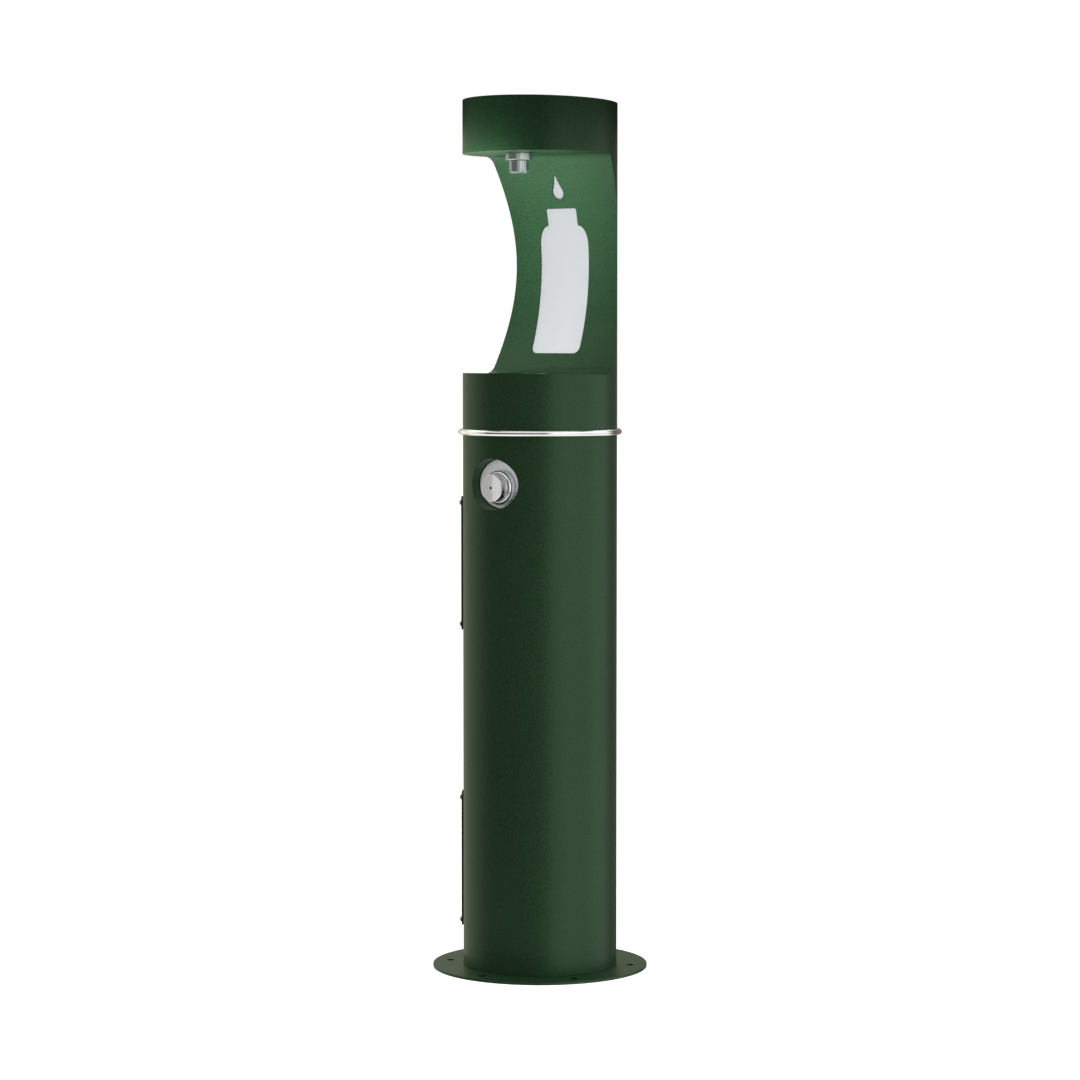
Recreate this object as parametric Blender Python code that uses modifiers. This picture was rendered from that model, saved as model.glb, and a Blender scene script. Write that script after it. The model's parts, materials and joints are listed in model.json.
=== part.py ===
"""Outdoor pedestal bottle-filling fountain.

Metres, +Z up. The origin is the centre of the base flange's underside and the front faces -Y.
"""
import math

import bmesh
import bpy
from mathutils import Matrix, Vector

# Clearance that separate pieces keep where the real ones touch.
GAP = 0.0003

# Reach of the cutters: past a thin piece, and clear outside and inside the column's wall.
OVERSHOOT = 0.01
OUTSIDE = 0.17
INSIDE = 0.10

# Column: a 12 inch steel tube for the pedestal and for the head.
COLUMN_RADIUS = 0.1524
COLUMN_WALL = 0.0034
COLUMN_BORE = COLUMN_RADIUS - COLUMN_WALL
COLUMN_SEGMENTS = 60

# Base flange.
FLANGE_RADIUS = 0.2128
FLANGE_THICKNESS = 0.0048
FLANGE_OPENING_RADIUS = 0.110
ANCHOR_COUNT = 6
ANCHOR_CIRCLE_RADIUS = 0.181
ANCHOR_HOLE_RADIUS = 0.00715

# Joint between pedestal and head, with its chrome ring.
RING_HEIGHT = 1.0634
RING_ROD_RADIUS = 0.00635
RING_CENTRE_RADIUS = 0.1559
JOINT_HALF_GAP = 0.0058
SLEEVE_HALF_LENGTH = 0.036
SLEEVE_WALL = 0.003

# Alcove: side profile of a shelf, a curved back and a ceiling.
CEILING_HEIGHT = 1.6084
SHELF_HEIGHT = 1.1771
SHELF_TILT = math.radians(0.95)
BACK_ARC_RADIUS = 0.467
BACK_ARC_HEIGHT = 1.3913
BACK_DEPTH = 0.0848
ALCOVE_FILLET = 0.025
LINER_THICKNESS = 0.003
BACKING_THICKNESS = 0.002
BACKING_HALF_WIDTH = 0.072
BACKING_BOTTOM = 1.207
BACKING_TOP = 1.577

# Bottle-shaped window, a little to the left of the middle like the drop above it.
WINDOW_X = -0.0045
BOTTLE_BOTTOM = 1.2175
BOTTLE_TOP = 1.5036
BOTTLE_HALF_WIDTH = 0.0605
BOTTLE_SHOULDER_HEIGHT = 1.433
BOTTLE_NECK_HEIGHT = 1.470
BOTTLE_NECK_HALF_WIDTH = 0.038
BOTTLE_CORNER = 0.0135
BOTTLE_NECK_CORNER = 0.004

# Drop-shaped window.
DROP_RADIUS = 0.0135
DROP_HEIGHT = 1.535
DROP_TIP_HEIGHT = 1.5635
DROP_TIP_RADIUS = 0.0036

# Top cap.
TOP_HEIGHT = 1.7097
TOP_TILT = math.radians(1.96)
CAP_THICKNESS = 0.003
CAP_RISE = 0.008
ABOVE_TOP = 0.05

# Push button on the front, in its oval recess.
RECESS_HEIGHT = 0.964
RECESS_HALF_WIDTH = 0.0575
RECESS_HALF_HEIGHT = 0.050
RECESS_WALL = 0.0015
RECESS_FLOOR = -0.116
RECESS_FLOOR_THICKNESS = 0.002
BUTTON_HEIGHT = 0.957
BUTTON_RADIUS = 0.0266
BUTTON_FACE = -0.154
BUTTON_REAR = -0.1255
BUTTON_WALL = 0.0024
BUTTON_FACE_THICKNESS = 0.0035
BUTTON_EDGE = 0.003
DISC_MARGIN = 0.0014
DISC_THICKNESS = 0.0012
COLLAR_RADIUS = 0.0335
COLLAR_FRONT = -0.1345
COLLAR_EDGE = 0.0012
COLLAR_SHOULDER = 0.0035
NECK_RADIUS = 0.012
NECK_FRONT = -0.1235
NECK_NUT_ACROSS = 0.030
VALVE_BARREL_RADIUS = 0.017
VALVE_SHOULDER_RADIUS = 0.021
VALVE_SHOULDER_LENGTH = 0.006
VALVE_BORE_RADIUS = 0.0044
VALVE_BORE_END = -0.082
VALVE_END = -0.060
PORT_Y = -0.085
PORT_RADIUS = 0.009
PORT_ROOT = 0.0145
INLET_PORT_LENGTH = 0.038
OUTLET_PORT_LENGTH = 0.036
STEM_RADIUS = 0.004
STEM_END = -0.092
SPRING_WIRE_RADIUS = 0.0008
SPRING_RADIUS = 0.0080
SPRING_TURNS = 5
REGULATOR_RADIUS = 0.011
REGULATOR_BODY_RADIUS = 0.0085
REGULATOR_END_RADIUS = 0.006
REGULATOR_LENGTH = 0.044

# Access panels on the -X side.
PANEL_HALF_WIDTH = 0.096
PANEL_SIDE_MARGIN = 0.022
PANEL_END_MARGIN = 0.026
PANEL_CORNER = 0.010
GASKET_INSET = 0.001
PANEL_INNER_RADIUS = 0.1543
PANEL_OUTER_RADIUS = 0.1563
PANEL_SPANS = {"upper": (0.669, 0.935), "lower": (0.078, 0.348)}
SCREW_INSET = 0.0125
SCREW_ANGLE = math.radians(34.5)
SCREW_HEAD_RADIUS = 0.00525
SCREW_HEAD_HEIGHT = 0.0036
SCREW_HEAD_CHAMFER = 0.001
SCREW_SHANK_RADIUS = 0.0022
SCREW_HOLE_RADIUS = 0.0026
SCREW_TIP_RADIUS = 0.1405
STRIP_HALF_WIDTH = 0.097
STRIP_HALF_HEIGHT = 0.008
STRIP_THICKNESS = 0.0035

# Spout under the alcove's ceiling.
SPOUT_Y = -0.066
SPOUT_FLANGE_RADIUS = 0.0264
SPOUT_FLANGE_HEIGHT = 0.015
SPOUT_NOZZLE_RADIUS = 0.01885
SPOUT_NOZZLE_HEIGHT = 0.0245
SPOUT_WALL = 0.0035
SPOUT_EDGE = 0.003
SPOUT_BORE_RADIUS = 0.005
SPOUT_SHANK_RADIUS = 0.0095
SPOUT_SHANK_TOP = 1.634
SPOUT_NUT_ACROSS = 0.030
SPOUT_NUT_HEIGHT = 0.007
ELBOW_RADIUS = 0.008
ELBOW_BEND = 0.014
ELBOW_RISE = 0.006
ELBOW_RUN = 0.012

# Drain in the shelf.
DRAIN_Y = -0.012
DRAIN_FLANGE_RADIUS = 0.026
DRAIN_FLANGE_RISE = 0.0008
DRAIN_GRID_RISE = 0.0005
DRAIN_GRID_DEPTH = -0.0008
DRAIN_SHANK_RADIUS = 0.0155
DRAIN_SHANK_WALL = 0.0018
DRAIN_SHANK_LENGTH = 0.036
DRAIN_HOLE_RADIUS = 0.0024
DRAIN_HOLE_CIRCLE = 0.0085
DRAIN_GASKET_THICKNESS = 0.002
DRAIN_NUT_ACROSS = 0.042
DRAIN_NUT_HEIGHT = 0.006
SLIP_NUT_RADIUS = 0.022
SLIP_NUT_BORE = 0.0165
SLIP_NUT_SPAN = (1.128, 1.146)
DRAIN_PIPE_RADIUS = 0.0159
DRAIN_PIPE_BORE = 0.014
DRAIN_PIPE_TOP = 1.139
DRAIN_PIPE_BOTTOM = 0.002

# Water supply.
TUBE_RADIUS = 0.0048
SUPPLY_X = -0.060
NIPPLE_RADIUS = 0.0107
NIPPLE_BORE = 0.008
NIPPLE_BOTTOM = 0.002
TUBE_NUT_ACROSS = 0.024
TUBE_NUT_HEIGHT = 0.014
STOP_BOTTOM = 0.140
STOP_TOP = 0.216
STOP_AXIS_HEIGHT = 0.178
STOP_BALL_RADIUS = 0.019
STOP_SOCKET_RADIUS = 0.0165
STOP_OUTLET_RADIUS = 0.010
STOP_BOSS_RADIUS = 0.009
STOP_BOSS_LENGTH = 0.026
STOP_STEM_RADIUS = 0.0042
STOP_STEM_HOLE = 0.0045
STOP_STEM_ROOT = 0.012
STOP_STEM_LENGTH = 0.038
LEVER_X = -0.0905
LEVER_THICKNESS = 0.003
LEVER_HALF_WIDTH = 0.007
LEVER_TAIL = 0.010
LEVER_LENGTH = 0.092
GRIP_START = 0.030
GRIP_WALL = 0.002
LEVER_NUT_ACROSS = 0.012
LEVER_NUT_HEIGHT = 0.0055
LINE_STRAINER_SPAN = (0.752, 0.824)
LINE_STRAINER_RADIUS = 0.016
LINE_STRAINER_END_RADIUS = 0.010

PAINT = ("evergreen_paint", (0.020, 0.075, 0.035), 0.45, 0.0)
CHROME = ("chrome", (0.80, 0.81, 0.82), 0.10, 1.0)
STAINLESS = ("stainless", (0.62, 0.62, 0.60), 0.30, 1.0)
ZINC = ("zinc_steel", (0.48, 0.49, 0.50), 0.40, 1.0)
GREY_PLATE = ("grey_plate", (0.63, 0.67, 0.69), 0.45, 0.0)
BRASS = ("brass", (0.70, 0.50, 0.22), 0.30, 1.0)
RUBBER = ("rubber", (0.02, 0.02, 0.02), 0.80, 0.0)
BLACK_PLASTIC = ("black_plastic", (0.03, 0.03, 0.03), 0.50, 0.0)
TUBE_PLASTIC = ("tube_plastic", (0.80, 0.82, 0.82), 0.40, 0.0)
PIPE_PLASTIC = ("pipe_plastic", (0.85, 0.85, 0.83), 0.45, 0.0)
GRIP_VINYL = ("grip_vinyl", (0.02, 0.08, 0.35), 0.50, 0.0)


# Scene and materials.

def clear_scene():
    for item in list(bpy.data.objects):
        bpy.data.objects.remove(item, do_unlink=True)


def new_collection(name, hidden=False):
    collection = bpy.data.collections.new(name)
    collection.hide_render = hidden
    bpy.context.scene.collection.children.link(collection)
    return collection


def paint_object(item, finish):
    label, colour, roughness, metallic = finish
    material = bpy.data.materials.new(f"{item.name}_{label}")
    material.use_nodes = True
    shader = material.node_tree.nodes["Principled BSDF"]
    shader.inputs["Base Color"].default_value = (*colour, 1.0)
    shader.inputs["Roughness"].default_value = roughness
    shader.inputs["Metallic"].default_value = metallic
    item.data.materials.clear()
    item.data.materials.append(material)


def part(item, name, finish, parent=None):
    """Name an object as a sub-part of the fountain, and give it its own material."""
    item.name = name
    item.data.name = name
    paint_object(item, finish)
    PARTS.objects.link(item)
    if parent is not None:
        item.parent = parent
        item.matrix_parent_inverse = parent.matrix_world.inverted()
    return item


def pivot_empty(name, location):
    """An empty on a joint's axis, which the moving pieces hang on."""
    empty = bpy.data.objects.new(name, None)
    empty.location = location
    PARTS.objects.link(empty)
    bpy.context.view_layer.update()
    return empty


# Shapes. Each returns an object that is in no collection yet.

def from_bmesh(bm, name="shape"):
    mesh = bpy.data.meshes.new(name)
    bm.to_mesh(mesh)
    bm.free()
    return bpy.data.objects.new(name, mesh)


def cylinder(radius, low, high, segments=32):
    """A solid cylinder on the Z axis, from height low to height high."""
    bm = bmesh.new()
    place = Matrix.Translation((0, 0, (low + high) / 2))
    bmesh.ops.create_cone(bm, cap_ends=True, segments=segments, radius1=radius, radius2=radius,
                          depth=high - low, matrix=place)
    return from_bmesh(bm, "cylinder")


def box(low, high, corner=0.0, corner_axis=0, corner_segments=3):
    """A box between two corners. The edges along corner_axis are rounded by corner."""
    low = Vector(low)
    high = Vector(high)
    bm = bmesh.new()
    size = Matrix.Diagonal((*(high - low), 1.0))
    bmesh.ops.create_cube(bm, size=1.0, matrix=Matrix.Translation((low + high) / 2) @ size)
    if corner > 0.0:
        along = Vector((0, 0, 0))
        along[corner_axis] = 1.0
        edges = [edge for edge in bm.edges
                 if abs((edge.verts[0].co - edge.verts[1].co).normalized().dot(along)) > 0.99]
        bmesh.ops.bevel(bm, geom=edges, offset=corner, segments=corner_segments, profile=0.5,
                        affect="EDGES")
    return from_bmesh(bm, "box")


def hexagon(across_flats, bore, low, high):
    """A hexagon nut on the Z axis."""
    nut = cylinder(across_flats / math.sqrt(3), low, high, 6)
    return to_mesh(cut(nut, cylinder(bore, low - 0.01, high + 0.01, 16)))


def turned(profile, segments=32):
    """Turn a closed profile of (radius, height) points about the Z axis."""
    mesh = bpy.data.meshes.new("turned")
    area = sum(a[0] * b[1] - b[0] * a[1] for a, b in zip(profile, profile[1:] + profile[:1]))
    if area > 0.0:
        profile = list(reversed(profile))
    points = [(radius, 0.0, height) for radius, height in profile]
    edges = [(i, (i + 1) % len(points)) for i in range(len(points))]
    on_axis = [i for i, point in enumerate(points) if point[0] == 0.0]
    if len(on_axis) == 2:
        edges = [edge for edge in edges if not set(edge) <= set(on_axis)]
    mesh.from_pydata(points, edges, [])
    item = bpy.data.objects.new("turned", mesh)
    screw = item.modifiers.new("turn", "SCREW")
    screw.axis = "Z"
    screw.steps = segments
    screw.render_steps = segments
    screw.use_merge_vertices = True
    screw.merge_threshold = 0.00001
    return item


def outline(points, thickness):
    """A flat closed outline in the XY plane, as thick as asked, centred on Z = 0."""
    curve = bpy.data.curves.new("outline", "CURVE")
    curve.dimensions = "2D"
    curve.fill_mode = "BOTH"
    curve.extrude = thickness / 2
    spline = curve.splines.new("POLY")
    spline.points.add(len(points) - 1)
    for point, (x, y) in zip(spline.points, points):
        point.co = (x, y, 0.0, 1.0)
    spline.use_cyclic_u = True
    return to_mesh(bpy.data.objects.new("outline", curve))


def pipe(points, radius, sides=3):
    """A solid round rod along the points."""
    curve = bpy.data.curves.new("pipe", "CURVE")
    curve.dimensions = "3D"
    curve.bevel_depth = radius
    curve.bevel_resolution = sides
    curve.use_fill_caps = True
    spline = curve.splines.new("POLY")
    spline.points.add(len(points) - 1)
    for point, place in zip(spline.points, points):
        point.co = (*place, 1.0)
    return bpy.data.objects.new("pipe", curve)


def to_mesh(item):
    """A closed mesh object in place of a curve object or of one with modifiers."""
    CUTTERS.objects.link(item)
    graph = bpy.context.evaluated_depsgraph_get()
    mesh = bpy.data.meshes.new_from_object(item.evaluated_get(graph))
    place = item.matrix_world.copy()
    bpy.data.objects.remove(item, do_unlink=True)
    bm = bmesh.new()
    bm.from_mesh(mesh)
    bmesh.ops.remove_doubles(bm, verts=bm.verts, dist=0.00001)
    bm.to_mesh(mesh)
    bm.free()
    result = bpy.data.objects.new("mesh", mesh)
    result.matrix_world = place
    return result


def move(item, location=(0, 0, 0), rotation=(0, 0, 0)):
    item.location = location
    item.rotation_euler = rotation
    return item


def cut(target, cutter, operation="DIFFERENCE"):
    """Cut the target with the cutter, or join or trim it."""
    CUTTERS.objects.link(cutter)
    cutter.name = f"cutter_{len(CUTTERS.objects):02d}"
    cutter.display_type = "WIRE"
    cutter.hide_render = True
    boolean = target.modifiers.new("cut", "BOOLEAN")
    boolean.operation = operation
    boolean.object = cutter
    boolean.solver = "EXACT"
    return target


def arc(centre, radius, start, end, steps):
    """Points on an arc, with angles in radians."""
    angles = [start + (end - start) * i / steps for i in range(steps + 1)]
    return [(centre[0] + radius * math.cos(a), centre[1] + radius * math.sin(a)) for a in angles]


# Directions for outlines and turned shapes.
FACING_FRONT = (math.pi / 2, 0, 0)
FACING_SIDE = (0, -math.pi / 2, 0)
SIDE_OUTLINE = (math.pi / 2, 0, math.pi / 2)


def front_turned(profile, height, segments=32):
    """Turn a profile of (radius, y) points about the horizontal axis at this height."""
    item = turned([(radius, -y) for radius, y in profile], segments)
    return move(item, (0, 0, height), FACING_FRONT)


def front_cylinder(radius, front, rear, height, segments=32):
    """A cylinder along Y from front to rear, with its axis at x = 0 and this height."""
    return move(cylinder(radius, -rear, -front, segments), (0, 0, height), FACING_FRONT)


def column_shell(inner, outer, low, high):
    return turned([(outer, low), (outer, high), (inner, high), (inner, low)], COLUMN_SEGMENTS)


# Structure.

def base_flange():
    plate = cylinder(FLANGE_RADIUS, 0.0, FLANGE_THICKNESS, 72)
    cut(plate, cylinder(FLANGE_OPENING_RADIUS, -OVERSHOOT, OVERSHOOT, 36))
    for i in range(ANCHOR_COUNT):
        angle = -math.pi / 2 + i * 2 * math.pi / ANCHOR_COUNT
        hole = cylinder(ANCHOR_HOLE_RADIUS, -OVERSHOOT, OVERSHOOT, 14)
        place = (ANCHOR_CIRCLE_RADIUS * math.cos(angle), ANCHOR_CIRCLE_RADIUS * math.sin(angle), 0)
        cut(plate, move(hole, place))
    part(plate, "base_flange", PAINT)


def screw_places(low, high):
    """Angle about Z and height of a panel's four screws."""
    return [(math.pi + side * SCREW_ANGLE, height)
            for height in (high - SCREW_INSET, low + SCREW_INSET) for side in (-1, 1)]


def radial_cylinder(radius, inner, outer, angle, height, segments=10):
    """A cylinder that points away from the column's axis."""
    rod = cylinder(radius, inner, outer, segments)
    return move(rod, (0, 0, height), (0, math.pi / 2, angle))


def pedestal_tube():
    bottom = FLANGE_THICKNESS + GAP
    tube = column_shell(COLUMN_BORE, COLUMN_RADIUS, bottom, RING_HEIGHT - JOINT_HALF_GAP)
    cut(tube, recess_oval(RECESS_WALL + GAP, -OUTSIDE, -INSIDE))
    for low, high in PANEL_SPANS.values():
        cut(tube, panel_opening(low, high))
        for angle, height in screw_places(low, high):
            cut(tube, radial_cylinder(SCREW_HOLE_RADIUS, INSIDE, OUTSIDE, angle, height))
    part(tube, "pedestal_tube", PAINT)


def panel_opening(low, high):
    half = PANEL_HALF_WIDTH - PANEL_SIDE_MARGIN
    return box((-OUTSIDE, -half, low + PANEL_END_MARGIN), (-INSIDE, half, high - PANEL_END_MARGIN),
               PANEL_CORNER)


def joint():
    low = RING_HEIGHT - SLEEVE_HALF_LENGTH
    high = RING_HEIGHT + SLEEVE_HALF_LENGTH
    outer = COLUMN_BORE - GAP
    part(column_shell(outer - SLEEVE_WALL, outer, low, high), "joint_sleeve", ZINC)

    rod = arc((RING_CENTRE_RADIUS, RING_HEIGHT), RING_ROD_RADIUS, 0, 2 * math.pi, 10)
    part(turned(rod[:-1], COLUMN_SEGMENTS), "trim_ring", CHROME)


def fillet_angle(flat_angle, flat_distance):
    """Direction, seen from the back arc's centre, of the fillet to a flat that faces flat_angle."""
    reach = BACK_ARC_RADIUS - ALCOVE_FILLET
    swing = math.acos((flat_distance - ALCOVE_FILLET) / reach)
    return flat_angle - math.copysign(swing, flat_angle)


def alcove_profile(offset, front=-OUTSIDE):
    """The alcove's side profile of (y, z) points from ceiling to shelf, moved outwards by offset."""
    centre = (BACK_DEPTH - BACK_ARC_RADIUS, BACK_ARC_HEIGHT)
    drop = BACK_ARC_HEIGHT - SHELF_HEIGHT
    shelf_below = math.cos(SHELF_TILT) * drop + math.sin(SHELF_TILT) * centre[0]
    ceiling_angle = math.pi / 2
    shelf_angle = -math.pi / 2 - SHELF_TILT
    top = fillet_angle(ceiling_angle, CEILING_HEIGHT - BACK_ARC_HEIGHT)
    bottom = fillet_angle(shelf_angle, shelf_below)
    reach = BACK_ARC_RADIUS - ALCOVE_FILLET
    radius = ALCOVE_FILLET + offset
    upper_fillet = arc(centre, reach, top, top, 1)[0]
    lower_fillet = arc(centre, reach, bottom, bottom, 1)[0]
    points = [(front, CEILING_HEIGHT + offset)]
    points += arc(upper_fillet, radius, ceiling_angle, top, 4)
    points += arc(centre, BACK_ARC_RADIUS + offset, top, bottom, 16)[1:-1]
    points += arc(lower_fillet, radius, bottom, shelf_angle, 4)
    last = points[-1]
    points.append((front, last[1] + (last[0] - front) * math.tan(SHELF_TILT)))
    return points


def shelf_at(y):
    """Height of the shelf's surface."""
    return SHELF_HEIGHT - y * math.tan(SHELF_TILT)


def head_tube():
    bottom = RING_HEIGHT + JOINT_HALF_GAP
    tube = column_shell(COLUMN_BORE, COLUMN_RADIUS, bottom, TOP_HEIGHT + ABOVE_TOP)
    alcove = outline(alcove_profile(LINER_THICKNESS + GAP), 2 * OUTSIDE)
    cut(tube, move(alcove, (0, 0, 0), SIDE_OUTLINE))
    above = box((-OUTSIDE, -OUTSIDE, 0.0), (OUTSIDE, OUTSIDE, 2 * ABOVE_TOP))
    cut(tube, move(above, (0, 0, TOP_HEIGHT - CAP_THICKNESS - GAP), (-TOP_TILT, 0, 0)))
    part(tube, "head_tube", PAINT)


def bottle_window():
    """The bottle's outline of (x, z) points."""
    shoulder_rise = BOTTLE_NECK_HEIGHT - BOTTLE_SHOULDER_HEIGHT
    shoulder_run = BOTTLE_HALF_WIDTH - BOTTLE_NECK_HALF_WIDTH
    inner = BOTTLE_HALF_WIDTH - BOTTLE_CORNER
    neck = BOTTLE_NECK_HALF_WIDTH - BOTTLE_NECK_CORNER
    right = arc((inner, BOTTLE_BOTTOM + BOTTLE_CORNER), BOTTLE_CORNER, -math.pi / 2, 0, 4)
    for x, z in arc((0, 0), 1.0, 0, math.pi / 2, 6):
        right.append((BOTTLE_NECK_HALF_WIDTH + shoulder_run * x,
                      BOTTLE_SHOULDER_HEIGHT + shoulder_rise * z))
    right += arc((neck, BOTTLE_TOP - BOTTLE_NECK_CORNER), BOTTLE_NECK_CORNER, 0, math.pi / 2, 2)
    return right + [(-x, z) for x, z in reversed(right)]


def drop_window():
    """The drop's outline of (x, z) points: a round bottom and a narrow round tip."""
    round_end = math.radians(25)
    right = arc((0, DROP_HEIGHT), DROP_RADIUS, -math.pi / 2, round_end, 6)
    low_x, low_z = right[-1]
    for share in (0.35, 0.7):
        lean = (1 - share) ** 1.3
        right.append((DROP_TIP_RADIUS + (low_x - DROP_TIP_RADIUS) * lean,
                      low_z + (DROP_TIP_HEIGHT - low_z) * share))
    right += arc((0, DROP_TIP_HEIGHT), DROP_TIP_RADIUS, 0, math.pi / 2, 3)
    return right + [(-x, z) for x, z in reversed(right[1:-1])]


def alcove_liner():
    sheet = alcove_profile(0.0) + list(reversed(alcove_profile(LINER_THICKNESS)))
    liner = move(outline(sheet, 2 * OUTSIDE), (0, 0, 0), SIDE_OUTLINE)
    cut(liner, cylinder(COLUMN_RADIUS, RING_HEIGHT, TOP_HEIGHT, COLUMN_SEGMENTS), "INTERSECT")
    for window in (bottle_window(), drop_window()):
        cut(liner, move(outline(window, OUTSIDE), (WINDOW_X, OUTSIDE / 2, 0), FACING_FRONT))
    drain_hole = cylinder(DRAIN_SHANK_RADIUS + 2 * GAP, SHELF_HEIGHT - OVERSHOOT,
                          SHELF_HEIGHT + OVERSHOOT, 24)
    cut(liner, move(drain_hole, (0, DRAIN_Y, 0)))
    spout_hole = cylinder(SPOUT_SHANK_RADIUS + 2 * GAP, CEILING_HEIGHT - OVERSHOOT,
                          CEILING_HEIGHT + OVERSHOOT, 20)
    cut(liner, move(spout_hole, (0, SPOUT_Y, 0)))
    part(liner, "alcove_liner", PAINT)


def graphic_backing():
    centre = (BACK_DEPTH - BACK_ARC_RADIUS, BACK_ARC_HEIGHT)
    inner = BACK_ARC_RADIUS + LINER_THICKNESS + GAP
    top = math.asin((BACKING_TOP - BACK_ARC_HEIGHT) / inner)
    bottom = math.asin((BACKING_BOTTOM - BACK_ARC_HEIGHT) / inner)
    sheet = arc(centre, inner, top, bottom, 15)
    sheet += arc(centre, inner + BACKING_THICKNESS, bottom, top, 15)
    plate = outline(sheet, 2 * BACKING_HALF_WIDTH)
    part(move(plate, (WINDOW_X, 0, 0), SIDE_OUTLINE), "graphic_backing", GREY_PLATE)


def top_cap():
    bulge = (COLUMN_RADIUS ** 2 + CAP_RISE ** 2) / (2 * CAP_RISE)
    rim = 1.05 * COLUMN_RADIUS
    radii = [rim * i / 3 for i in range(4)]
    upper = [(r, math.sqrt(bulge ** 2 - r ** 2) - bulge + CAP_RISE) for r in radii]
    lower = [(r, height - CAP_THICKNESS) for r, height in reversed(upper)]
    cap = turned(upper + lower, COLUMN_SEGMENTS)
    move(cap, (0, 0, TOP_HEIGHT), (-TOP_TILT, 0, 0))
    outside = cylinder(COLUMN_RADIUS, TOP_HEIGHT - ABOVE_TOP, TOP_HEIGHT + ABOVE_TOP, COLUMN_SEGMENTS)
    cut(cap, outside, "INTERSECT")
    part(cap, "top_cap", PAINT)


# Access panels.

def access_panel(level, low, high):
    half = PANEL_HALF_WIDTH
    panel = column_shell(PANEL_INNER_RADIUS, PANEL_OUTER_RADIUS, low - OVERSHOOT, high + OVERSHOOT)
    cut(panel, box((-OUTSIDE, -half, low), (-INSIDE, half, high), PANEL_CORNER), "INTERSECT")

    inner = COLUMN_RADIUS + GAP
    gasket = column_shell(inner, PANEL_INNER_RADIUS - GAP, low - OVERSHOOT, high + OVERSHOOT)
    rim = GASKET_INSET
    frame = box((-OUTSIDE, -half + rim, low + rim), (-INSIDE, half - rim, high - rim), PANEL_CORNER)
    cut(gasket, frame, "INTERSECT")
    cut(gasket, panel_opening(low, high))

    for angle, height in screw_places(low, high):
        cut(panel, radial_cylinder(SCREW_HOLE_RADIUS, INSIDE, OUTSIDE, angle, height))
        cut(gasket, radial_cylinder(SCREW_HOLE_RADIUS, INSIDE, OUTSIDE, angle, height))
    part(panel, f"access_panel_{level}", PAINT)
    part(gasket, f"panel_gasket_{level}", RUBBER)

    for number, (angle, height) in enumerate(screw_places(low, high), 1):
        panel_screw(f"panel_screw_{level}_{number}", angle, height)
    for end, height in (("top", high - SCREW_INSET), ("bottom", low + SCREW_INSET)):
        tapped_strip(f"tapped_strip_{level}_{end}", height)


def panel_screw(name, angle, height):
    base = PANEL_OUTER_RADIUS + GAP
    top = base + SCREW_HEAD_HEIGHT
    head = SCREW_HEAD_RADIUS
    shank = SCREW_SHANK_RADIUS
    chamfer = SCREW_HEAD_CHAMFER
    profile = [(0.0, SCREW_TIP_RADIUS), (shank, SCREW_TIP_RADIUS), (shank, base), (head, base),
               (head - chamfer, top - chamfer), (head / 2, top), (0.0, top)]
    screw = turned(profile, 10)
    part(move(screw, (0, 0, height), (0, math.pi / 2, angle)), name, ZINC)


def tapped_strip(name, height):
    outer = COLUMN_BORE - GAP
    low = height - STRIP_HALF_HEIGHT
    high = height + STRIP_HALF_HEIGHT
    half = STRIP_HALF_WIDTH
    strip = column_shell(outer - STRIP_THICKNESS, outer, low, high)
    cut(strip, box((-OUTSIDE, -half, low - OVERSHOOT), (-INSIDE, half, high + OVERSHOOT)), "INTERSECT")
    for side in (-1, 1):
        angle = math.pi + side * SCREW_ANGLE
        cut(strip, radial_cylinder(SCREW_SHANK_RADIUS + GAP, INSIDE, OUTSIDE, angle, height))
    part(strip, name, ZINC)


# Push button and its valve.

def recess_oval(margin, front, rear):
    """The recess's oval, wider than it is high, made larger all round by a margin."""
    oval = front_cylinder(RECESS_HALF_HEIGHT + margin, front, rear, RECESS_HEIGHT, 40)
    oval.scale.x = (RECESS_HALF_WIDTH + margin) / (RECESS_HALF_HEIGHT + margin)
    return oval


def neck_hole():
    return front_cylinder(NECK_RADIUS + 2 * GAP, -OUTSIDE, -INSIDE, BUTTON_HEIGHT, 24)


def recess():
    cup = recess_oval(RECESS_WALL, -OUTSIDE, RECESS_FLOOR + RECESS_FLOOR_THICKNESS)
    cut(cup, recess_oval(0.0, -OUTSIDE - OVERSHOOT, RECESS_FLOOR))
    reach = 2 * RECESS_HALF_HEIGHT
    column = cylinder(COLUMN_RADIUS, RECESS_HEIGHT - reach, RECESS_HEIGHT + reach, COLUMN_SEGMENTS)
    cut(cup, column, "INTERSECT")
    cut(cup, neck_hole())
    part(cup, "button_recess_cup", PAINT)

    disc_back = RECESS_FLOOR - GAP
    disc_front = disc_back - DISC_THICKNESS
    disc = recess_oval(-DISC_MARGIN, disc_front, disc_back)
    cut(disc, neck_hole())
    part(disc, "escutcheon_disc", CHROME)

    seat = disc_front - GAP
    inner = BUTTON_RADIUS + 2 * GAP
    edge = COLLAR_EDGE
    slope = COLLAR_SHOULDER
    collar = [(COLLAR_RADIUS, seat), (COLLAR_RADIUS, COLLAR_FRONT + slope + edge),
              (COLLAR_RADIUS - edge, COLLAR_FRONT + edge + slope / 3),
              (COLLAR_RADIUS - slope, COLLAR_FRONT), (inner + edge, COLLAR_FRONT),
              (inner, COLLAR_FRONT + edge), (inner, seat)]
    part(front_turned(collar, BUTTON_HEIGHT, 32), "button_collar", CHROME)

    nut_front = NECK_FRONT + 4 * GAP
    nut = hexagon(NECK_NUT_ACROSS, NECK_RADIUS + GAP, -seat, -nut_front)
    part(move(nut, (0, 0, BUTTON_HEIGHT), FACING_FRONT), "valve_mounting_nut", BRASS)


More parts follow.
